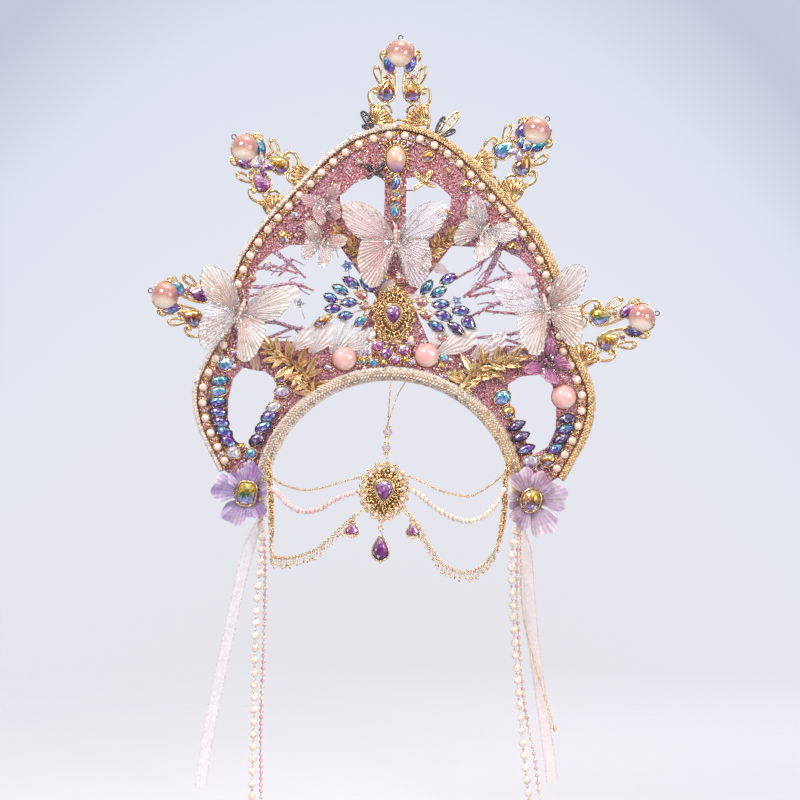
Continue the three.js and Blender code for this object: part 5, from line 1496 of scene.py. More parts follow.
RUFFLES = {  # tufts: place, turn of the fan's lower edge, span; then cloth and tint
    "left": [(-27, 17, 62, 21, "lace", (0.96, 0.93, 0.92)),
             (-36, 20, 96, 20, "lace", (0.96, 0.93, 0.92)),
             (-44, 17, 70, 24, "lace", (0.95, 0.92, 0.92)),
             (-60, 17, 60, 25, "organza", (0.98, 0.88, 0.86)),
             (-36, 22, 30, 19, "organza", (0.98, 0.90, 0.88)),
             (-74, 20, 44, 22, "organza", (0.98, 0.86, 0.85)),
             (-52, 18, 100, 22, "lace", (0.96, 0.92, 0.91)),
             (-24, 19, 92, 15, "organza", (0.98, 0.86, 0.85)),
             (-92, 56, 20, 22, "organza", (0.97, 0.86, 0.84)),
             (-100, 62, 0, 16, "organza", (0.95, 0.74, 0.78)),
             (-100, 20, -78, 13, "organza", (0.93, 0.62, 0.52)),
             (-28, 26, 100, 12, "lace", (0.95, 0.92, 0.92))],
    "right": [(32, 20, 34, 24, "organza", (0.98, 0.88, 0.85)),
              (44, 19, 56, 23, "organza", (0.98, 0.86, 0.84)),
              (56, 17, 34, 24, "organza", (0.98, 0.84, 0.84)),
              (68, 18, 60, 20, "lace", (0.95, 0.93, 0.94)),
              (30, 23, 80, 18, "organza", (0.98, 0.90, 0.88)),
              (98, 62, 120, 20, "organza", (0.96, 0.74, 0.80)),
              (40, 78, 160, 13, "organza", (0.96, 0.72, 0.72)),
              (82, 20, 20, 15, "organza", (0.97, 0.82, 0.84)),
              (-10, 64, 40, 12, "organza", (0.94, 0.74, 0.70)),
              (6, 60, 0, 12, "organza", (0.95, 0.78, 0.74))],
}


def ruffle(name):
    """Fans of gathered lace and organza tucked behind the leaves and stones."""
    shape = Shape(77 + list(RUFFLES).index(name))
    area = 0.0
    for x, z, turn, span, cloth, tint in RUFFLES[name]:
        points = wing(UPPER_WING, span, 9, shape.rng)
        waves = np.sin(np.linspace(0, 9, points.shape[1]))[None, :]
        points[..., 2] += 0.5 + 0.9 * waves * np.linspace(0, 1, 15)[:, None] ** 2
        area += cloth_area(points)
        # Painted shade: darker bands along the pleats and a darker gathered root.
        painted_pleat_shade = 0.84 + 0.16 * np.cos(np.linspace(0, 18 * math.pi, points.shape[1]))
        fade = np.linspace(0.78, 1.0, 15)[:, None, None]
        skin, faces = grid(points)
        shade = (np.array(tint) * painted_pleat_shade[None, :, None] * fade).reshape(-1, 3)
        skin = moved(facing(x, z, SEAT - 0.4, turn - 35) @ local(lean=-3), skin)
        shape.add((skin, faces), None, cloth, shade)
    piece = place_piece(f"ruffle_{name}", shape, "organza", closed=False)


def seed_bed(shape, x, z, wide, high, count):
    """Seed beads and chatons about a place, where the board carries them."""
    rng = shape.rng
    at = np.stack([x + rng.normal(0, wide / 2.2, count), np.full(count, SEAT - 0.5),
                   z + rng.normal(0, high / 2.2, count)], 1)
    at = at[[carried(point) for point in at]]
    kind, size = rng.integers(0, 4, len(at)), any_sizes(rng, 0.5, 1.15, len(at))
    for number, finish in enumerate(("gold", "deep_gold", "pearl")):
        chosen = kind == number
        shape.many(ball(6, 3), to_viewer(at[chosen], size[chosen]), finish, (1.0, 0.84, 0.78))
    chosen = kind == 3
    tints = np.array(PALETTES["lilac"] + PALETTES["coral"])[rng.integers(0, 8, chosen.sum())]
    shape.many(gem("oval", 6), to_viewer(at[chosen], size[chosen] * 1.3), "stone", tints, smooth=False)


def scatter():
    """Stones of mixed sizes and colours, a half pearl, and the beds of seeds."""
    shape = Shape(70)
    for x, z, turn, length, width, palette, cut in SCATTER:
        m = facing(x, z, SEAT + 0.2, turn)
        shape.stone(m, cut, length, width, 3.0, palette, sides=9, rim_thick=0.4)
        for k in range(4):
            a = math.pi / 4 + k * math.pi / 2
            shape.claw(m, 0.5 * length * math.cos(a), 0.5 * width * math.sin(a), 1.6, 0.55)
    half_pearl = facing(*HALF_PEARL_PLACE, SEAT) @ np.diag((4.4, 4.4, 3.6, 1))
    shape.add(dome(24, 8), half_pearl, "pearl", (1.0, 0.96, 0.88))
    for bed in SEED_BEDS:
        seed_bed(shape, *bed)
    place_piece("scattered_stones", shape, "violetStone")


# Clusters of seed pearls: place, count, spread
PEARL_CLUSTERS = [(-46, 25.5, 16, 5.2), (45.3, 26.9, 14, 5.0), (-16, 33, 8, 3.4), (13.8, 30, 8, 3.4),
                  (-70, 30, 6, 3.2), (60, 27.4, 6, 3.0)]


def seed_pearls():
    """Clusters of seed pearls and gold seeds where the sprays meet the tracery."""
    shape = Shape(71)
    for x, z, count, spread in PEARL_CLUSTERS:
        for _ in range(count):
            a, r = shape.rng.uniform(0, 2 * math.pi), spread * math.sqrt(shape.rng.uniform(0, 1))
            warm = shape.rng.uniform(0.9, 1.0)
            finish = "pearl" if shape.rng.random() < 0.7 else "gold"
            at = (x + r * math.cos(a), SEAT - 0.9, z + 0.55 * r * math.sin(a))
            radius = shape.rng.uniform(0.9, 1.5)
            if carried(at):
                shape.bead(at, radius, finish, (warm, warm * 0.95, warm * 0.9), sides=9, rings=6)
    place_piece("seed_pearls", shape, "pearl")


CABOCHONS = [("left", -34.6, 15.4), ("middle", 25, 19), ("loop", 124, -9)]
CABOCHON_RADIUS, CABOCHON_HEIGHT = 8.8, 7.0


def cabochon(name, x, z):
    """Rose cabochon with painted light, paler towards its lower side and lighter at its crown, in a fine
    beaded rim.
    """
    shape = Shape(72)
    points, faces = dome(36, 12)
    # Painted light: a pale glow on the lower side and a lighter crown.
    low = 0.86 * -points[:, 1] + 0.42 * points[:, 0]
    fade = np.clip((low - 0.3) * 1.9, 0, 1)[:, None]
    tint = mix(np.array((0.74, 0.36, 0.34)) + 0.2 * points[:, 2:], (1.0, 0.84, 0.78), fade)
    size = np.diag((CABOCHON_RADIUS, CABOCHON_RADIUS, CABOCHON_HEIGHT, 1))
    shape.add((points, faces), facing(x, z, SEAT) @ size, "cats_eye", tint)
    shape.ring(facing(x, z, SEAT - 0.5), 8.9, 0.4, "deep_gold", 36, 5)
    place_piece(f"cabochon_{name}_dome", shape, "rosy", [f"cabochon_{name}"])


def opal_jewel():
    """Peach opal in a toothed collar, with a column of stones under it."""
    shape = Shape(73)
    m = facing(0, 159.5)
    shape.add(lathe([(0, 0), (1, 0), (1, 0.9), (0, 0.9)], 32), m @ np.diag((9, 11.6, 1, 1)), "deep_gold")
    for a in turns(22):  # teeth of the collar
        u, v = 9.4 * math.cos(a), 12.0 * math.sin(a)
        spin = math.degrees(math.atan2(v, u))
        tooth = [(-2, 0, 0.6), (0.2, 0.5, 0.8), (1.6, 0, 0.2)]
        shape.wire(m @ local(u, v, 0.8, spin), tooth, 0.5, steps=6, sides=5)
        shape.bead(moved(m, (10.6 * math.cos(a), 13.2 * math.sin(a), 0.9)), 0.72, sides=7)
        shape.bead(moved(m, (8.2 * math.cos(a + 0.14), 10.4 * math.sin(a + 0.14), 1.6)), 0.7, sides=7)
    points, faces = dome(36, 12)
    low = np.clip(-points[:, 1] * 1.25 - 0.1, 0, 1)[:, None]
    haze = (0.5 + 0.5 * np.sin(points[:, 0:1] * 5 + points[:, 1:2] * 3)) * 0.25
    tint = mix(mix((0.78, 0.50, 0.36), (0.40, 0.16, 0.48), low), (0.95, 0.78, 0.66), haze)
    shape.add((points, faces), m @ local(0, 0, 1.0) @ np.diag((7.2, 9.7, 6.6, 1)), "cats_eye", tint)
    for cut, x, z, turn, length, width, palette in [
            ("marquise", 0, 142, 74, 13, 6.4, "blue_violet"), ("oval", 0.6, 135, 20, 6.4, 6.4, "meadow"),
            ("oval", 0.4, 129, 0, 8.6, 7, "ember"), ("pear", -0.4, 122.2, 90, 10, 7, "sea")]:
        shape.stone(facing(x, z, SEAT - 0.4, turn), cut, length, width, 3.0, palette, sides=9, rim_thick=0.5)
    shape.add(tube([(0, SEAT - 0.5, 147), (0, SEAT - 0.5, 119)], 1.2, 6, flat=0.4), None, "deep_gold")
    place_piece("opal_and_column", shape, "gold", ["opal_jewel"])


spray("left")
spray("right")
for row_name in STONE_ROWS:
    stone_row(row_name)
scatter()
seed_pearls()
for cabochon_row in CABOCHONS:
    cabochon(*cabochon_row)
opal_jewel()


# ---------------------------------------------------------------- leaves

LEAF_SPRAYS = {
    "lower_left": dict(stem=[(-56, -10), (-62, 2), (-72, 11), (-85, 20)], greener=0, length=17,
                       turns=[150, 20, 175, 60, 200, 75, 215, 100, 185, 130, 160]),
    "lower_right": dict(stem=[(52, -4), (60, 8), (72, 12), (86, 16)], greener=0.8, length=16,
                        turns=[30, 160, 5, 120, -20, 105, -35, 80, -5, 50, 20]),
    "upper_left": dict(stem=[(-18, 79), (-26, 91), (-38, 104)], greener=0, length=11,
                       turns=[95, 160, 85, 170, 90, 175, 130]),
    "upper_right": dict(stem=[(18, 79), (26, 91), (38, 104)], greener=0.3, length=11,
                        turns=[85, 20, 95, 10, 90, 5, 50]),
}


def leaf(length, width, lift):
    """A pointed leaf folded along its midrib and curled up at its tip."""
    rows, cols = 9, 7
    s = np.linspace(0, 1, rows)[:, None]
    c = np.linspace(-1, 1, cols)[None, :]
    half = width / 2 * np.sin(math.pi * np.clip(s, 0.02, 0.985) ** 0.8) ** 0.85
    w = lift * s**1.6 + 0.55 * np.abs(c) * half - 0.12 * np.abs(np.sin(s * 16 + np.abs(c) * 3))
    top = np.stack([s * length + 0 * c, c * half, w], -1)
    under = top - (0, 0, 0.45)
    return grid(np.concatenate([top, under[:, ::-1]], 1), False, True)


def leaf_spray(name):
    """Pointed copper and gold leaves, three at each joint of a wire stem."""
    shape = Shape(80 + list(LEAF_SPRAYS).index(name))
    row = LEAF_SPRAYS[name]
    back = SEAT - 1.3
    line = spline([(x, back, z) for x, z in row["stem"]], 30)
    shape.add(tube(line, np.linspace(1.1, 0.7, 31), 7), None, "deep_gold")
    count = len(row["turns"])
    for k, turn in enumerate(row["turns"]):
        at = line[round(k / (count - 1) * 30)]
        for twin, (offset, share) in enumerate([(0, 1.0), (34 * (-1) ** k, 0.8), (-52 * (-1) ** k, 0.56)]):
            length = row["length"] * share * shape.rng.uniform(0.88, 1.08)
            m = facing(at[0], at[2], back - 0.3 - 0.7 * twin, turn + offset + shape.rng.uniform(-6, 6))
            # Each leaf runs from copper along its midrib's fold to a bright tone at its raised edges: partly
            # the leaves' own copper and gold, partly painted shade in the fold and painted highlight on the
            # edges.
            copper = np.array((0.76, 0.30, 0.11))
            bright = mix((1.0, 0.78, 0.46), (1.0, 0.88, 0.52), row["greener"])
            points, faces = leaf(length, 4.8 * share, 2.6)
            edge = np.clip(np.abs(points[:, 1]) / (1.9 * share), 0, 1)[:, None]
            glow = bright * shape.rng.uniform(0.5, 1.15)
            tone = mix(copper, glow, np.clip(0.1 + 0.9 * edge + (k % 3 == 0) * 0.3, 0, 1))
            shape.add((points, faces), m @ local(lean=-5 - 4 * twin), "leaf", tone)
            midrib = [(0.5, 0, 0.2), (length * 0.5, 0, 0.7), (length * 0.93, 0, 2.3)]
            shape.wire(m @ local(lean=-5 - 4 * twin), midrib, 0.3,
                       "gold" if shape.rng.random() < 0.5 else "deep_gold", steps=6, sides=5)
        aside, above = shape.rng.uniform(-1.5, 1.5), shape.rng.uniform(-1.5, 1.5)
        shape.bead((at[0] + aside, back - 1.4, at[2] + above), 1.0, "gold" if k % 2 else "deep_gold")
    place_piece(f"leaves_{name}", shape, "gold", [f"leaf_spray_{name}"])


# ---------------------------------------------------------------- cloth butterflies

# Outlines of the right wings for a span of 1
UPPER_WING = [(0.03, 0.12), (0.3, 0.5), (0.62, 0.68), (0.95, 0.66),
              (1, 0.48), (0.86, 0.2), (0.6, 0.02), (0.1, -0.02)]
LOWER_WING = [(0.1, 0.02), (0.6, 0.02), (0.7, -0.2), (0.68, -0.55),
              (0.5, -0.82), (0.3, -0.78), (0.12, -0.4), (0.03, -0.15)]
BUTTERFLIES = [  # tints of the wings from root to edge; veins' finish
    dict(name="centre", x=1, z=100, span=40, turn=1, fold=20, root=(0.80, 0.42, 0.44),
         edge=(0.98, 0.84, 0.78), vein="silver", slot="pinkWing", pleats=30, laced=((1, False), (1, True))),
    dict(name="left", x=-110.5, z=45.9, span=38, turn=-18, fold=26, root=(0.88, 0.56, 0.52),
         edge=(0.97, 0.93, 0.86), vein="silver", slot="whiteWing", pleats=26, laced=((-1, True),)),
    dict(name="right", x=110.5, z=53.5, span=37, turn=14, fold=26, root=(0.86, 0.54, 0.52),
         edge=(0.97, 0.91, 0.85), vein="silver", slot="whiteWing", pleats=26, laced=((-1, False),)),
    dict(name="rose", x=-50.7, z=125.7, span=16, turn=20, fold=24, root=(0.66, 0.26, 0.34),
         edge=(0.96, 0.66, 0.66), vein="silver", slot="pinkWing", pleats=18),
    dict(name="blush", x=-52.6, z=97, span=18, turn=-24, fold=24, root=(0.78, 0.44, 0.44),
         edge=(0.97, 0.82, 0.76), vein="silver", slot="pinkWing", pleats=18),
    dict(name="pearl", x=63.9, z=108.6, span=24, turn=-38, fold=24, root=(0.80, 0.56, 0.54),
         edge=(0.97, 0.91, 0.84), vein="silver", slot="whiteWing", pleats=20,
         laced=((1, False), (-1, False))),
    dict(name="magenta", x=112.8, z=14.5, span=17, turn=52, fold=24, root=(0.46, 0.05, 0.30),
         edge=(0.92, 0.40, 0.68), vein="dark_wire", slot="magentaWing", pleats=18),
]


def wing(outline, span, pleats, rng):
    """A pleated wing as a fan of points from its root, in a plane with w as its ripple."""
    around, out = 5 * pleats, 15
    edge = spline([(u * span, v * span, 0) for u, v in outline], around)
    share = np.linspace(0, 1, around + 1)
    root = np.array((0.05 * span, 0.0, 0.0))
    scallop = 1 + 0.022 * np.abs(np.sin(math.pi * pleats * 0.5 * share)) - 0.015
    reach = np.linspace(0.06, 1, out)[:, None]
    points = root + (edge - root)[None] * (reach * scallop[None, :])[..., None]
    fade = np.sin(math.pi * np.clip(share, 0.03, 0.97)) ** 0.4
    folds = np.sin(2 * math.pi * pleats * share)[None, :]
    ripple = 0.5 * (span / 40) ** 0.5 * folds * (0.25 + 0.75 * reach) * fade
    sag = 0.05 * span * np.sin(math.pi * share)[None, :] * np.sin(math.pi * reach * 0.9)
    frill = 0.55 * reach**5 * np.sin(share * 37 + rng.uniform(0, 6))[None, :]
    points[..., 2] = ripple + sag + frill
    return points


LACE_TINT = (0.86, 0.82, 0.88)
SEQUIN_TINTS = np.array([(1, 1, 1), (0.95, 0.82, 0.74), (0.84, 0.84, 0.92), (0.80, 0.88, 0.74)])


def wing_tint(row, points, laced):
    """Tints of a wing from root to edge, with painted shade in bands along its pleats."""
    t = np.linspace(0, 1, points.shape[0])[:, None, None]
    painted_pleat_shade = 0.5 + 0.5 * np.cos(2 * math.pi * row["pleats"] * np.linspace(0, 1, points.shape[1]))
    tint = mix(row["root"], row["edge"], t) * (0.66 + 0.34 * painted_pleat_shade)[None, :, None]
    return mix(tint, LACE_TINT, 0.75) if laced else tint


def wing_sequins(trim, m, skin, span):
    """Tiny foil sequins scattered over a wing."""
    rng = trim.rng
    spots = moved(m, skin[rng.integers(0, len(skin), int(4 * span))] + (0, 0, 0.3))
    heading, tilt = rng.normal(0, 1, spots.shape), (0, -1, 0.2) + rng.normal(0, 0.3, spots.shape)
    places = frames(spots, heading, tilt, any_sizes(rng, 0.25, 0.6, len(spots)))
    tints = SEQUIN_TINTS[rng.integers(0, len(SEQUIN_TINTS), len(spots))]
    trim.many(FLAKE, places, "flake", tints, smooth=False)


def wing_stitches(trim, m, skin, span, finish):
    """Short wandering stitches over the middle of a wing."""
    rng = trim.rng
    for k in rng.integers(0, len(skin), int(1.2 * span)):
        start = skin[k] + (0, 0, 0.35)
        stitch = start + np.cumsum(rng.normal(0, 0.028 * span, (5, 3)) * (1, 1, 0.08), axis=0)
        stitch = stitch[np.hypot(*(stitch - start)[:, :2].T) < 0.12 * span]
        if len(stitch) > 2 and 0.12 * span < start[0] < 0.8 * span:
            trim.add(tube(moved(m, stitch), 0.13, 4), None, finish)


def wing_veins(trim, m, points, span, finish):
    """Seven veins with curled tips, a hem and a second line inside it."""
    rng, grow = trim.rng, (span / 38) ** 0.5
    for k in np.linspace(0, points.shape[1] - 1, 9).astype(int)[1:-1]:
        vein = points[:, k] + (0, 0, 0.25)
        thick = np.linspace(0.28, 0.12, len(vein) - 1) * grow
        trim.add(tube(moved(m, vein[:-1]), thick, 4), None, finish)
        tip = vein[-3]
        curl = [tip, tip + (rng.uniform(-1, 1), rng.uniform(-1, 1), 0.3), vein[-2]]
        trim.add(tube(moved(m, np.array(curl)), 0.16, 4), None, finish)
    trim.add(tube(moved(m, points[-1][::2] + (0, 0, 0.1)), 0.22 * grow, 4), None, finish)
    inner = points[-4][::3] + (0, 0, 0.2)
    inner[:, 2] += 0.1 * np.sin(np.arange(len(inner)))
    trim.add(tube(moved(m, inner), 0.13, 4), None, finish)


def butterfly_body(trim, place, row, radius):
    """A soft body in seven rings, and two feelers."""
    span, tone = row["span"], mix(row["root"], row["edge"], 0.5)
    for k in range(7):
        v = (0.26 - 0.085 * k) * span
        size = radius * (0.62 if k == 0 else 0.95 - 0.09 * k)
        ring = local(0, v, 0.2, size=(size * 0.8, size * 1.2, size))
        trim.add(ball(12, 8), place @ ring, "ivory_thread", tone)
    for side in (-1, 1):
        feeler = [(0.4 * side, 0.29 * span, 0.6), (0.06 * span * side, 0.40 * span, 1.0),
                  (0.13 * span * side, 0.47 * span, 0.8)]
        trim.wire(place, feeler, 0.2, row["vein"], steps=8, sides=5)
        trim.bead(moved(place, feeler[-1]), 0.42, row["vein"])


def outline_area(rim):
    """Area inside a closed row of points in X and Y, in square millimetres."""
    x, y = rim.T
    return 0.5 * abs(np.dot(x, np.roll(y, 1)) - np.dot(y, np.roll(x, 1)))


def butterfly(row):
    """Sheer pleated wings with stitched veins and a soft body."""
    name, span, fold = f"butterfly_{row['name']}", row["span"], math.radians(row["fold"])
    body_radius = max(1.6, 0.07 * span)
    place = facing(row["x"], row["z"], SEAT - body_radius, row["turn"])
    cloth, trim = Shape(91), Shape(90 + BUTTERFLIES.index(row))
    area = 0.0
    for side in (-1, 1):
        bend = np.eye(4)
        bend[:3, 0] = (side * math.cos(fold), 0, math.sin(fold))
        bend[:3, 2] = (-side * math.sin(fold), 0, math.cos(fold))
        m = place @ bend
        for outline, lift in ((UPPER_WING, 0.0), (LOWER_WING, 0.5)):
            points = wing(outline, span, row["pleats"], trim.rng)
            points[..., 2] += lift
            area += outline_area(points[-1, :, :2])
            laced = (side, lift > 0) in row.get("laced", ())
            skin, faces = grid(points)
            tint = wing_tint(row, points, laced).reshape(-1, 3)
            cloth.add((moved(m, skin), faces), None, "lace" if laced else "organza", tint)
            wing_sequins(trim, m, skin, span)
            wing_stitches(trim, m, skin, span, row["vein"])
            wing_veins(trim, m, points, span, row["vein"])
    butterfly_body(trim, place, row, body_radius)
    wings = place_piece(f"{name}_wings", cloth, row["slot"], [name], closed=False)
    veins = place_piece(f"{name}_veins", trim, row["slot"])


# ---------------------------------------------------------------- cloth flowers on the band's ends

# Outline of a petal for a length of 1
PETAL = [(0.06, -0.05), (0.34, -0.12), (0.62, -0.33), (0.88, -0.30), (1, -0.06),
         (0.97, 0.16), (0.82, 0.33), (0.6, 0.3), (0.32, 0.12), (0.06, 0.05)]
# root and edge tint each petal from its root outwards, the darker root partly painted shade; fold is painted
# shade on one side of each crease.
FLOWERS = [
    dict(name="left", x=-101.4, z=-83, stone_turn=80, palette="meadow", slot="violetPetal",
         root=(0.26, 0.08, 0.42), edge=(0.84, 0.70, 0.90), fold=(0.44, 0.28, 0.62),
         petals=[(170, 26), (240, 25), (300, 20), (15, 15), (80, 23), (122, 19)]),
    dict(name="right", x=102.4, z=-83, stone_turn=70, palette="amber", slot="mauvePetal",
         root=(0.44, 0.20, 0.40), edge=(0.90, 0.78, 0.84), fold=(0.54, 0.38, 0.56),
         petals=[(8, 26), (300, 28), (242, 22), (184, 17), (112, 23), (60, 22)]),
]
FLOWER_BACK = -12.8


def petal(radius, rng):
    """A striated petal with a frilled outer edge, lying in its own plane."""
    around, out = 60, 16
    edge = spline([(u * radius, v * 1.16 * radius, 0) for u, v in PETAL], around)
    share = np.linspace(0, 1, around + 1)
    reach = np.linspace(0, 1, out)[:, None]
    root = np.array((0.06 * radius, 0, 0))
    notch = 1 + 0.05 * np.sin(share * 27 + rng.uniform(0, 6)) * np.sin(math.pi * share) - 0.02
    points = root + (edge - root)[None] * (reach * notch[None, :])[..., None]
    folds = 0.5 * np.abs(np.sin(math.pi * 9 * share))[None, :] * reach
    waves = np.sin(share * 23 + rng.uniform(0, 6))[None, :]
    frill = 1.9 * reach**3 * waves * np.sin(math.pi * share)[None, :]
    cup = 0.16 * radius * (reach**2) * np.cos(2 * math.pi * share)[None, :]
    curl = 0.13 * radius * np.clip(reach - 0.72, 0, 1) * 4 * np.sin(share * 11 + rng.uniform(0, 6))[None, :]
    crease = 0.11 * radius * np.sin(share * rng.uniform(8, 13) + rng.uniform(0, 6))[None, :] * reach**1.5
    points[..., 2] = folds + frill + cup + curl + crease
    return points


def flower(row):
    """Six sheer petals behind a claw-set stone."""
    rng = np.random.default_rng(100 + FLOWERS.index(row))
    cloth, heart = Shape(101), Shape(102)
    heart.rng = rng
    place = facing(row["x"], row["z"], FLOWER_BACK)
    area = 0.0
    for k, (turn, radius) in enumerate(row["petals"]):
        m = place @ local(0, 0, 0.4 + 0.5 * (k % 3), turn) @ local(lean=-(8 + 6 * (k % 3)))
        points = petal(radius, rng)
        area += cloth_area(points)
        # Painted light: each petal darkens towards its root (partly its own deeper colour, partly painted
        # shade), takes the fold colour on one side of each crease, and has darker lines on the slopes of its
        # pleats.
        t = np.linspace(0, 1, points.shape[0])[:, None, None]
        tint = mix(row["root"], row["edge"], t**1.3)
        lines = 0.5 + 0.5 * np.cos(np.linspace(0, 1, points.shape[1]) * 2 * math.pi * 18)
        fold = np.clip(0.5 + 0.5 * np.gradient(points[..., 2], axis=1) / 0.4, 0, 1)[..., None]
        tint = mix(np.array(row["fold"]), tint, fold) * (0.62 + 0.38 * lines)[None, :, None]
        tint[-1] = np.clip(tint[-1] * 1.25, 0, 1)
        skin, faces = grid(points)
        cloth.add((moved(m, skin), faces), None, "petal", tint.reshape(-1, 3))
    heart.add(lathe([(0, 0), (8.4, 0), (8.8, 1.2), (6, 2.2), (0, 2.2)], 24), place, "deep_gold")
    m = place @ local(0, 0, 4.4, row["stone_turn"])
    cut = "cushion" if row["name"] == "left" else "oval"
    heart.stone(m, cut, 17, 13.6, 5.0, row["palette"], sides=12, rim_thick=0.8)
    for k in range(6):
        a = math.radians(60 * k + 30)
        u, v = (7.9 * math.cos(a), 6.2 * math.sin(a))
        claw = [(u * grow, v * grow, w) for grow, w in ((1.15, 0), (1.08, 2.4), (0.86, 3.6))]
        heart.wire(m, claw, 0.6, "deep_gold", steps=6)
    for k, a in enumerate(turns(18)):
        at = moved(place, (9.6 * math.cos(a), 9.6 * math.sin(a), 1.6))
        heart.bead(at, 0.8, "gold" if k % 2 else "deep_gold")
    name = f"flower_{row['name']}"
    petals = place_piece(f"{name}_petals", cloth, row["slot"], [name], closed=False)
    centre = place_piece(f"{name}_heart", heart, "gold")
    across = sum(r for _, r in row["petals"]) / len(row["petals"])


# ---------------------------------------------------------------- brow jewel

BROW = dict(x=4, y=-97, z=-77, lean=-4, half_u=18.5, half_v=21.5, thick=2.8)
PIVOT = (2.4235, -95.6, -101.145)
EYE_RADIUS = 1.6  # of the medallion's lower eye and of the drop's ring
BROW_PLACE = facing(BROW["x"], BROW["z"], BROW["y"] + BROW["thick"], BROW["lean"])


def shield(a):
    """Outline of the brow medallion: pointed at top and foot, fullest above the middle."""
    reach = 0.88 + 0.12 * math.cos(2 * a - math.pi) ** 3 * (1 if math.cos(2 * a - math.pi) > 0 else 0.4)
    return reach * math.cos(a) * (1 + 0.06 * math.sin(a)), reach * math.sin(a)


def brow_medallion():
    """Granular gold filigree with seed pearls and an amethyst pear, point down."""
    shape = Shape(110)
    m = BROW_PLACE @ np.diag((1.1, 1, 1, 1))
    filigree(shape, m, BROW["half_u"] - 0.6, BROW["half_v"] - 0.6, 2.6, shield, 18,
             [(0.7, 30, 0.8, 1.9), (0.57, 24, 0.85, 2.5), (0.95, 24, 0.65, 1.0)])
    stone_place = BROW_PLACE @ local(0, 0.6, 1.4, -90)
    shape.stone(stone_place, "pear", 15.2, 11.8, 4.4, "purple", sides=12, rim_thick=0.75)
    collar(shape, stone_place, "pear", 15.2, 11.8, 1.2, rows=3)
    for a in turns(12, 0.5):
        u, v = shield(a)
        at = moved(m, (0.8 * 18 * u, 0.8 * 21 * v, 2.6))
        shape.bead(at, 1.35, "pearl", (1, 0.95, 0.9), sides=12, rings=8)
    for u in (-5.4, 0, 5.4):  # crown points over the medallion
        shape.wire(m, [(u - 2, 17.2, 1), (u, 20.6 - abs(u) * 0.22, 1.2), (u + 2, 17.2, 1)], 0.55, steps=10)
    middle = np.array((BROW["x"], BROW["y"] + 0.8, BROW["z"]))
    ends = [SWAGS["left"]["pearls"][-1], SWAGS["left"]["chain"][-1], SWAGS["right"]["pearls"][0],
            SWAGS["right"]["chain"][0], DANGLES["left"][-1], DANGLES["right"][-1]]
    for end in np.array(ends):  # links to the chains' ends
        link_chain(shape, [end, end + 0.34 * (middle - end)], 1.25, 0.38)
        shape.bead(end, 1.0)
    x, y, z = PIVOT[0], PIVOT[1], PIVOT[2] + EYE_RADIUS
    shape.add(torus(0.25, 16, 6), aimed((x, y, z), (1, 0, 0), EYE_RADIUS))
    shape.bead((x, y, z + 2.3), 1.1)
    place_piece("brow_filigree", shape, "gold", ["brow_medallion"])


def brow_drop():
    """Bail, bead and amethyst pear that hang from the brow medallion's eye."""
    shape = Shape(111)
    x, y, z = PIVOT
    shape.add(torus(0.25, 18, 6), aimed((x, y, z + 1.1 - EYE_RADIUS), (0, -1, 0), EYE_RADIUS))
    shape.bead((x, y, z - 4.2), 1.9, "crystal", (0.96, 0.9, 0.98), sides=12, rings=8)
    shape.bead((x, y, z - 2.6), 0.7)
    m = facing(x, z - 14.3, y + 1.4, 90)
    shape.stone(m @ local(0, 0, 0.5), "pear", 17, 11, 4.0, "purple", sides=12, rim_thick=0.7)
    plate = lathe([(0, 0), (1, 0), (1, 1.0), (0, 1.0)], 28, CUTS["pear"])
    shape.add(plate, m @ np.diag((9.2, 6.1, 1, 1)), "deep_gold")
    for a in turns(22, 0.5):
        u, v = CUTS["pear"](a)
        shape.bead(moved(m, (u * 8.9, v * 5.8, 1.2)), 0.55, sides=6, rings=4)
    shape.bead((x, y, z - 24.2), 0.9)
    place_piece("brow_drop_jewel", shape, "amethyst", ["brow_drop"], body="brow_drop")


def link_chain(shape, line, size, wire, finish="gold"):
    """Round links along a line, each turned a quarter from the last."""
    pitch = size * 1.45
    count = max(2, int(length_of(line) / pitch))
    path = even(np.asarray(line, float), count)
    way = np.gradient(path, axis=0)
    for k in range(count):
        at, heading = (path[k] + path[k + 1]) / 2, way[k]
        side = (0, -1, 0) if k % 2 else (0.3, 0.3, 1)
        m = aimed(at, np.cross(heading, side), size, side=heading)
        shape.add(torus(wire / size, 9, 4), m, finish)
    return path


CHAIN_FOOT = (4, -75, -31)


def brow_chain():
    """Two chain legs, two clear pink bicones and a wire down to the brow medallion."""
    shape = Shape(112)
    for x in (1.6, 12):
        leg = spline([(x, -13.7, 4.6), (x - 0.2, -27, -0.5), ((x + 4) / 2, -50, -11), CHAIN_FOOT], 60)
        link_chain(shape, leg, 1.0, 0.26)
        shape.bead(leg[0], 1.1)
    wire = spline([CHAIN_FOOT, (4.4, -88, -44), (5.4, -96, -57.5)], 30)
    shape.add(tube(wire, 0.45, 6), None, "gold")
    for y, z in ((-80, -36), (-89, -47)):
        m = aimed((4.3, y, z), (0, -9, -11))
        body = lathe([(0, -4.4), (1.2, -3.9), (-3.3, 0), (1.2, 3.9), (0, 4.4)], 8)
        tints = colours_along(PALETTES["coral"], np.arange(40) % 7.0, shape.rng, 0.2)
        shade = np.vstack([tints] * 2)[:sum(len(f) for f in body[1])]
        shape.add(body, m, "crystal", shade * 0.3 + 0.68, smooth=False)
        for end in (-1, 1):
            shape.ring(m @ local(0, 0, end * 4.5), 1.3, 0.45)
            for k in range(6):
                a = k * math.pi / 3
                shape.bead(moved(m, (1.5 * math.cos(a), 1.5 * math.sin(a), end * 4.5)), 0.5, sides=6, rings=4)
    place_piece("brow_chain_links", shape, "gold", ["brow_chain"])


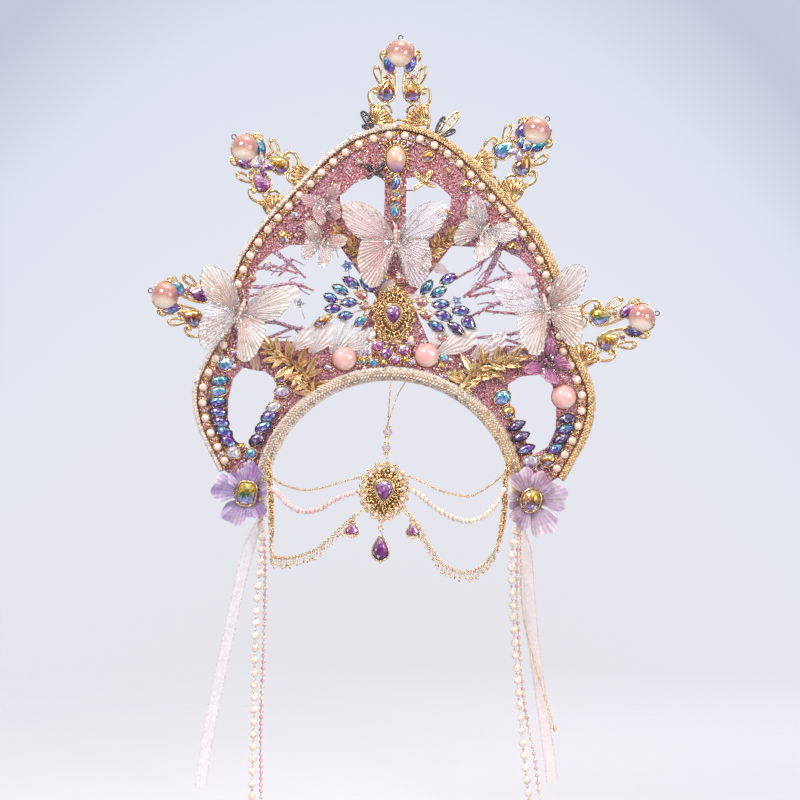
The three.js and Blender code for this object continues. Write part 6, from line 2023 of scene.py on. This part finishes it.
DANGLES = {  # course in X, Y, Z from the band down and in to the brow medallion
    "left": [(-86.6, -14.6, -58), (-84.8, -20.5, -67), (-83.2, -26, -78), (-80.5, -36, -107),
             (-79.6, -41, -124), (-72, -55.6, -126.4), (-57.2, -73.7, -123.8), (-43.6, -84.3, -118.2),
             (-31.3, -90.7, -108), (-21, -94.2, -98), (-14.2, -95.4, -92.6)],
    "right": [(86, -14.6, -54), (84.8, -19, -63), (84, -23.4, -74), (84.2, -28, -87),
              (82.4, -34, -104.8), (76, -49, -121.8), (66, -64, -130.9), (56, -74.6, -131.9),
              (44, -84, -125.4), (35, -89, -113), (28.6, -92, -100.5), (21, -95, -91.4)],
}


def fringe_drop(shape, at):
    """A short wire under a link, ending in a gold, clear or dark drop."""
    kind = shape.rng.random()
    length = 5.2 + shape.rng.uniform(-1.8, 1.8)
    swing = shape.rng.normal(0, 0.5, 2)
    tip = at + (swing[0], -0.4 + 0.4 * swing[1], -length)
    shape.add(tube([at, tip], 0.17, 4), None, "gold")
    if kind < 0.5:
        shape.add(ball(6, 3), shift(*tip, size=(0.75, 0.75, 1.15)), "gold")
    elif kind < 0.8:
        shape.add(gem("oval", 6), aimed(tip, (0, -1, 0.2), (0.95, 0.95, 1.2)), "stone",
                  mix((0.95, 0.75, 0.45), (0.98, 0.95, 0.98), shape.rng.random()), smooth=False)
    else:
        shape.add(ball(6, 3), shift(*tip, size=(0.6, 0.6, 0.85)), "deep_gold")


def dangle_chain(side):
    """Chain with a fringe of tiny drops; its upright part is a thick twist of seeds."""
    shape = Shape(113)
    line = spline(DANGLES[side], 160)
    path = link_chain(shape, line, 1.25, 0.34)
    upright = even(line[line[:, 2] > -124][:58], 120)
    thick = np.interp(np.arange(121), [0, 20, 100, 120], [0.6, 1.9, 2.0, 1.2])
    for finish in ("gold", "deep_gold", "gold", "pearl", "gold"):
        at = upright + shape.rng.uniform(-1, 1, upright.shape) * (thick[:, None] * (1, 0.7, 0.6))
        size = any_sizes(shape.rng, 0.42, 0.86, len(at))
        shape.many(ball(5, 3), to_viewer(at, size), finish, (1.0, 0.86, 0.72))
    for at in path[1:-1]:
        fringe_drop(shape, at)
    place_piece(f"dangle_fringe_{side}", shape, "gold", [f"dangle_chain_{side}"])


HEAD_DEPTH, HEAD_HALF_WIDTH = 97, 88  # half axes of the curve that the swags follow


def round_head(rows):
    """Points on a curve round the front of the head, from their x and z."""
    return [(x, -HEAD_DEPTH * math.sqrt(1 - (x / HEAD_HALF_WIDTH) ** 2), z) for x, z in rows]


SWAGS = {
    "left": dict(
        pearls=[DANGLES["left"][2],
                *round_head([(-74, -81.6), (-63.7, -89.6), (-52.5, -92.4), (-40.5, -89.8), (-29, -82.5)]),
                (-14.4, -96, -77)],
        chain=[DANGLES["left"][1],
               *round_head([(-75, -73), (-61.5, -76.6), (-52.8, -77.6), (-40.8, -75.6), (-27.7, -71.5)]),
               (-13.4, -96.2, -67)]),
    "right": dict(
        pearls=[(21.4, -96, -74),
                *round_head([(28.8, -79), (37, -86.1), (48, -93), (58.5, -96.6), (68, -94.8), (76, -88.8)]),
                DANGLES["right"][2]],
        chain=[(20.6, -96.2, -65.4),
               *round_head([(30, -70), (42.2, -75.7), (53.4, -78.5), (62, -79.3), (71, -74.6), (78, -69.4)]),
               DANGLES["right"][1]]),
}


def pearl_swag(side):
    """A string of pearls, milky pink on the left and ivory on the right, looped to the brow medallion."""
    shape = Shape(114)
    line = spline(SWAGS[side]["pearls"], 120)
    count = int(length_of(line) / 3.7)
    base = (0.98, 0.80, 0.82) if side == "left" else (1.0, 0.93, 0.85)
    for at in even(line, count)[1:-1]:
        tone = np.array(base) * shape.rng.uniform(0.9, 1.0)
        size = np.array((1.0, 0.9, 1.06)) * shape.rng.uniform(1.7, 2.15)
        shape.add(ball(12, 7), shift(*at, size=size), "pearl", tone)
    for at in even(line, 2 * count)[3:-2:2]:
        shape.bead(at, 0.55, "gold", sides=6, rings=4)
    shape.add(tube(line, 0.2, 5), None, "gold")
    place_piece(f"swag_pearls_{side}", shape, "pearl", [f"pearl_swag_{side}"])


def fine_chain(side):
    """Small links along the swag's upper line."""
    shape = Shape(115)
    link_chain(shape, spline(SWAGS[side]["chain"], 100), 0.78, 0.24)
    place_piece(f"fine_links_{side}", shape, "gold", [f"fine_chain_{side}"])


SIDE_DROPS = [("left", -17.6, -94.6, -103), ("right", 24.4, -93.6, -103)]


def side_drop(name, x, y, z):
    """Pink-mauve trillion in gold, with grains below it."""
    shape = Shape(116)
    shape.stone(facing(x, z, y + 1.4, 90), "trillion", 10.4, 10, 3.4, "magenta", sides=9, rim_thick=0.6)
    shape.add(tube([(x, y, z + 4.6), (x, y, z + 9.2)], 0.4, 6), None, "gold")
    for k in range(5):
        shape.bead((x + 1.5 * (k - 2), y + 0.3, z - 4.9 - 0.4 * (2 - abs(k - 2))), 0.7)
    place_piece(f"side_jewel_{name}", shape, "amethyst", [f"side_drop_{name}"])


# ---------------------------------------------------------------- hanging strands and ribbons

STRANDS = {  # course in X, Y, Z from just under the band's end
    "pearl_left": [(-92.5, -6, -101), (-91.6, -6, -121), (-94.3, -6, -175), (-94.5, -6, -240),
                   (-94.6, -6, -306)],
    "pearl_right": [(92.5, -6, -101), (89.2, -6, -121), (89.3, -6, -139), (92.4, -6, -184),
                    (100.6, -6, -264), (106.4, -6, -306)],
    "pink_left": [(-92, 1, -101), (-89.4, 1, -131), (-88.9, 1, -188), (-89.9, 1, -246), (-88.7, 1, -305)],
    "pink_right": [(93.5, 0, -101), (93.2, 0, -152), (100.3, 0, -230), (107.9, 0, -266), (112.9, 0, -299)],
    "gold_right": [(94.5, 6, -101), (97.8, 6, -166), (122, 6, -249.5)],
}


def pearl_strand(side):
    """Big ivory pearls with a small bead and gold cups between them."""
    shape = Shape(120)
    line = spline(STRANDS[f"pearl_{side}"], 160)
    count = int(length_of(line) / 8.7)
    path = even(line, 4 * count)
    for k in range(count):
        tone = shape.rng.uniform(0.95, 1.0)
        shape.bead(path[4 * k + 2], 2.9, "pearl", (tone, tone * 0.95, tone * 0.88), sides=14, rings=9)
        for step in (1, 3):
            shape.bead(path[4 * k + step], 0.8, "gold", sides=8, rings=5)
        shape.add(gem("oval", 6), aimed(path[4 * k], (0, -1, 0), 1.2), "stone",
                  (0.98, 0.93, 0.90) if k % 2 else (0.95, 0.78, 0.52), smooth=False)
    shape.add(tube(line, 0.22, 5), None, "gold")
    shape.bead(line[-1] + (0, 0, 0.9), 0.9, "gold")
    place_piece(f"strand_pearls_{side}", shape, "pearl", [f"pearl_strand_{side}"])


def pink_strand(side):
    """Small pink and cream pearls with tiny gold spacers."""
    shape = Shape(121)
    line = spline(STRANDS[f"pink_{side}"], 160)
    pitch = 4.4 if side == "left" else 5.2
    count = int(length_of(line) / pitch)
    path = even(line, 2 * count)
    for k in range(count):
        cream = (k // 3) % 3 == 0
        tone = (0.98, 0.90, 0.82) if cream else (0.94, 0.66, 0.70)
        tone = np.array(tone) * shape.rng.uniform(0.94, 1)
        shape.bead(path[2 * k + 1], 1.6, "pearl", tone, sides=10, rings=6)
        shape.bead(path[2 * k], 0.6, "gold", sides=6, rings=4)
    shape.add(tube(line, 0.18, 5), None, "gold")
    place_piece(f"strand_pink_{side}", shape, "pinkBead", [f"pink_strand_{side}"])


def gold_strand():
    """A fine chain that ends in a faceted gold bead."""
    shape = Shape(122)
    line = spline(STRANDS["gold_right"], 140)
    link_chain(shape, line, 0.95, 0.26)
    shape.add(lathe([(0, -2.2), (0.9, -1.9), (-1.9, -0.6), (1.9, 0.8), (-1.0, 2.0), (0, 2.2)], 8),
              shift(*(line[-1] + (0, 0, 2.0)), size=(0.75, 0.75, 0.9)), "gold", smooth=False)
    place_piece("strand_gold_right", shape, "gold", ["gold_strand_right"])


RIBBON_Y = 9.5
STREAMERS = {  # course in X and Z
    "left": dict(course=[(-94, -101), (-102.6, -124), (-116.4, -189), (-131.3, -273), (-134, -298)],
                 tint=(0.90, 0.88, 0.92)),
    "right": dict(course=[(94, -101), (98.6, -120), (104.6, -178), (119.6, -275), (121, -287)],
                  tint=(0.98, 0.80, 0.76)),
}


def streamer(side):
    """A sheer ribbon, narrow at its top, with a stitched edge and a gentle ripple."""
    row = STREAMERS[side]
    cloth, hem = Shape(123), Shape(124)
    steps, cols = 150, 9
    line = spline([(x, RIBBON_Y, z) for x, z in row["course"]], steps)
    way = unit(np.gradient(line, axis=0))
    share = np.linspace(0, 1, steps + 1)
    width = np.interp(share, [0, 0.1, 1], [3.0, 7.3, 7.3])
    across = np.stack([-way[:, 2], 0 * share, way[:, 0]], 1)
    c = np.linspace(-0.5, 0.5, cols)
    rise = np.sin(math.pi * (c + 0.5))[None, :]
    wave = 0.35 * np.sin(share * 46)[:, None] * rise + 0.35 * np.sin(share * 15)[:, None]
    points = line[:, None, :] + across[:, None, :] * (width[:, None] * c[None, :])[..., None]
    points[..., 1] += wave
    shade = np.broadcast_to(np.array(row["tint"]), points.shape)
    cloth.add(grid(points), None, "ribbon", shade.reshape(-1, 3))
    for edge in (0, cols - 1):
        hem.add(tube(points[:, edge], 0.22, 5), None, "ivory_thread", row["tint"])
        for k in range(2, steps, 3):
            out = across[k] * (0.5 if edge else -0.5)
            stitch = aimed(points[k, edge] + out * 0.5, (0, -1, 0), 0.5)
            hem.add(torus(0.34, 7, 4), stitch, "ivory_thread", row["tint"])
    ribbon = place_piece(f"ribbon_{side}", cloth, "organza", [f"streamer_{side}"], closed=False)
    stitches = place_piece(f"ribbon_{side}_edge", hem, "organza")


for spray_name in LEAF_SPRAYS:
    leaf_spray(spray_name)
flower_charms()
ruffle("left")
ruffle("right")
for butterfly_row in BUTTERFLIES:
    butterfly(butterfly_row)
for flower_row in FLOWERS:
    flower(flower_row)
brow_medallion()
brow_drop()
brow_chain()
for hand in ("left", "right"):
    dangle_chain(hand)
    pearl_swag(hand)
    fine_chain(hand)
    pearl_strand(hand)
    pink_strand(hand)
    streamer(hand)
for side_drop_row in SIDE_DROPS:
    side_drop(*side_drop_row)
gold_strand()
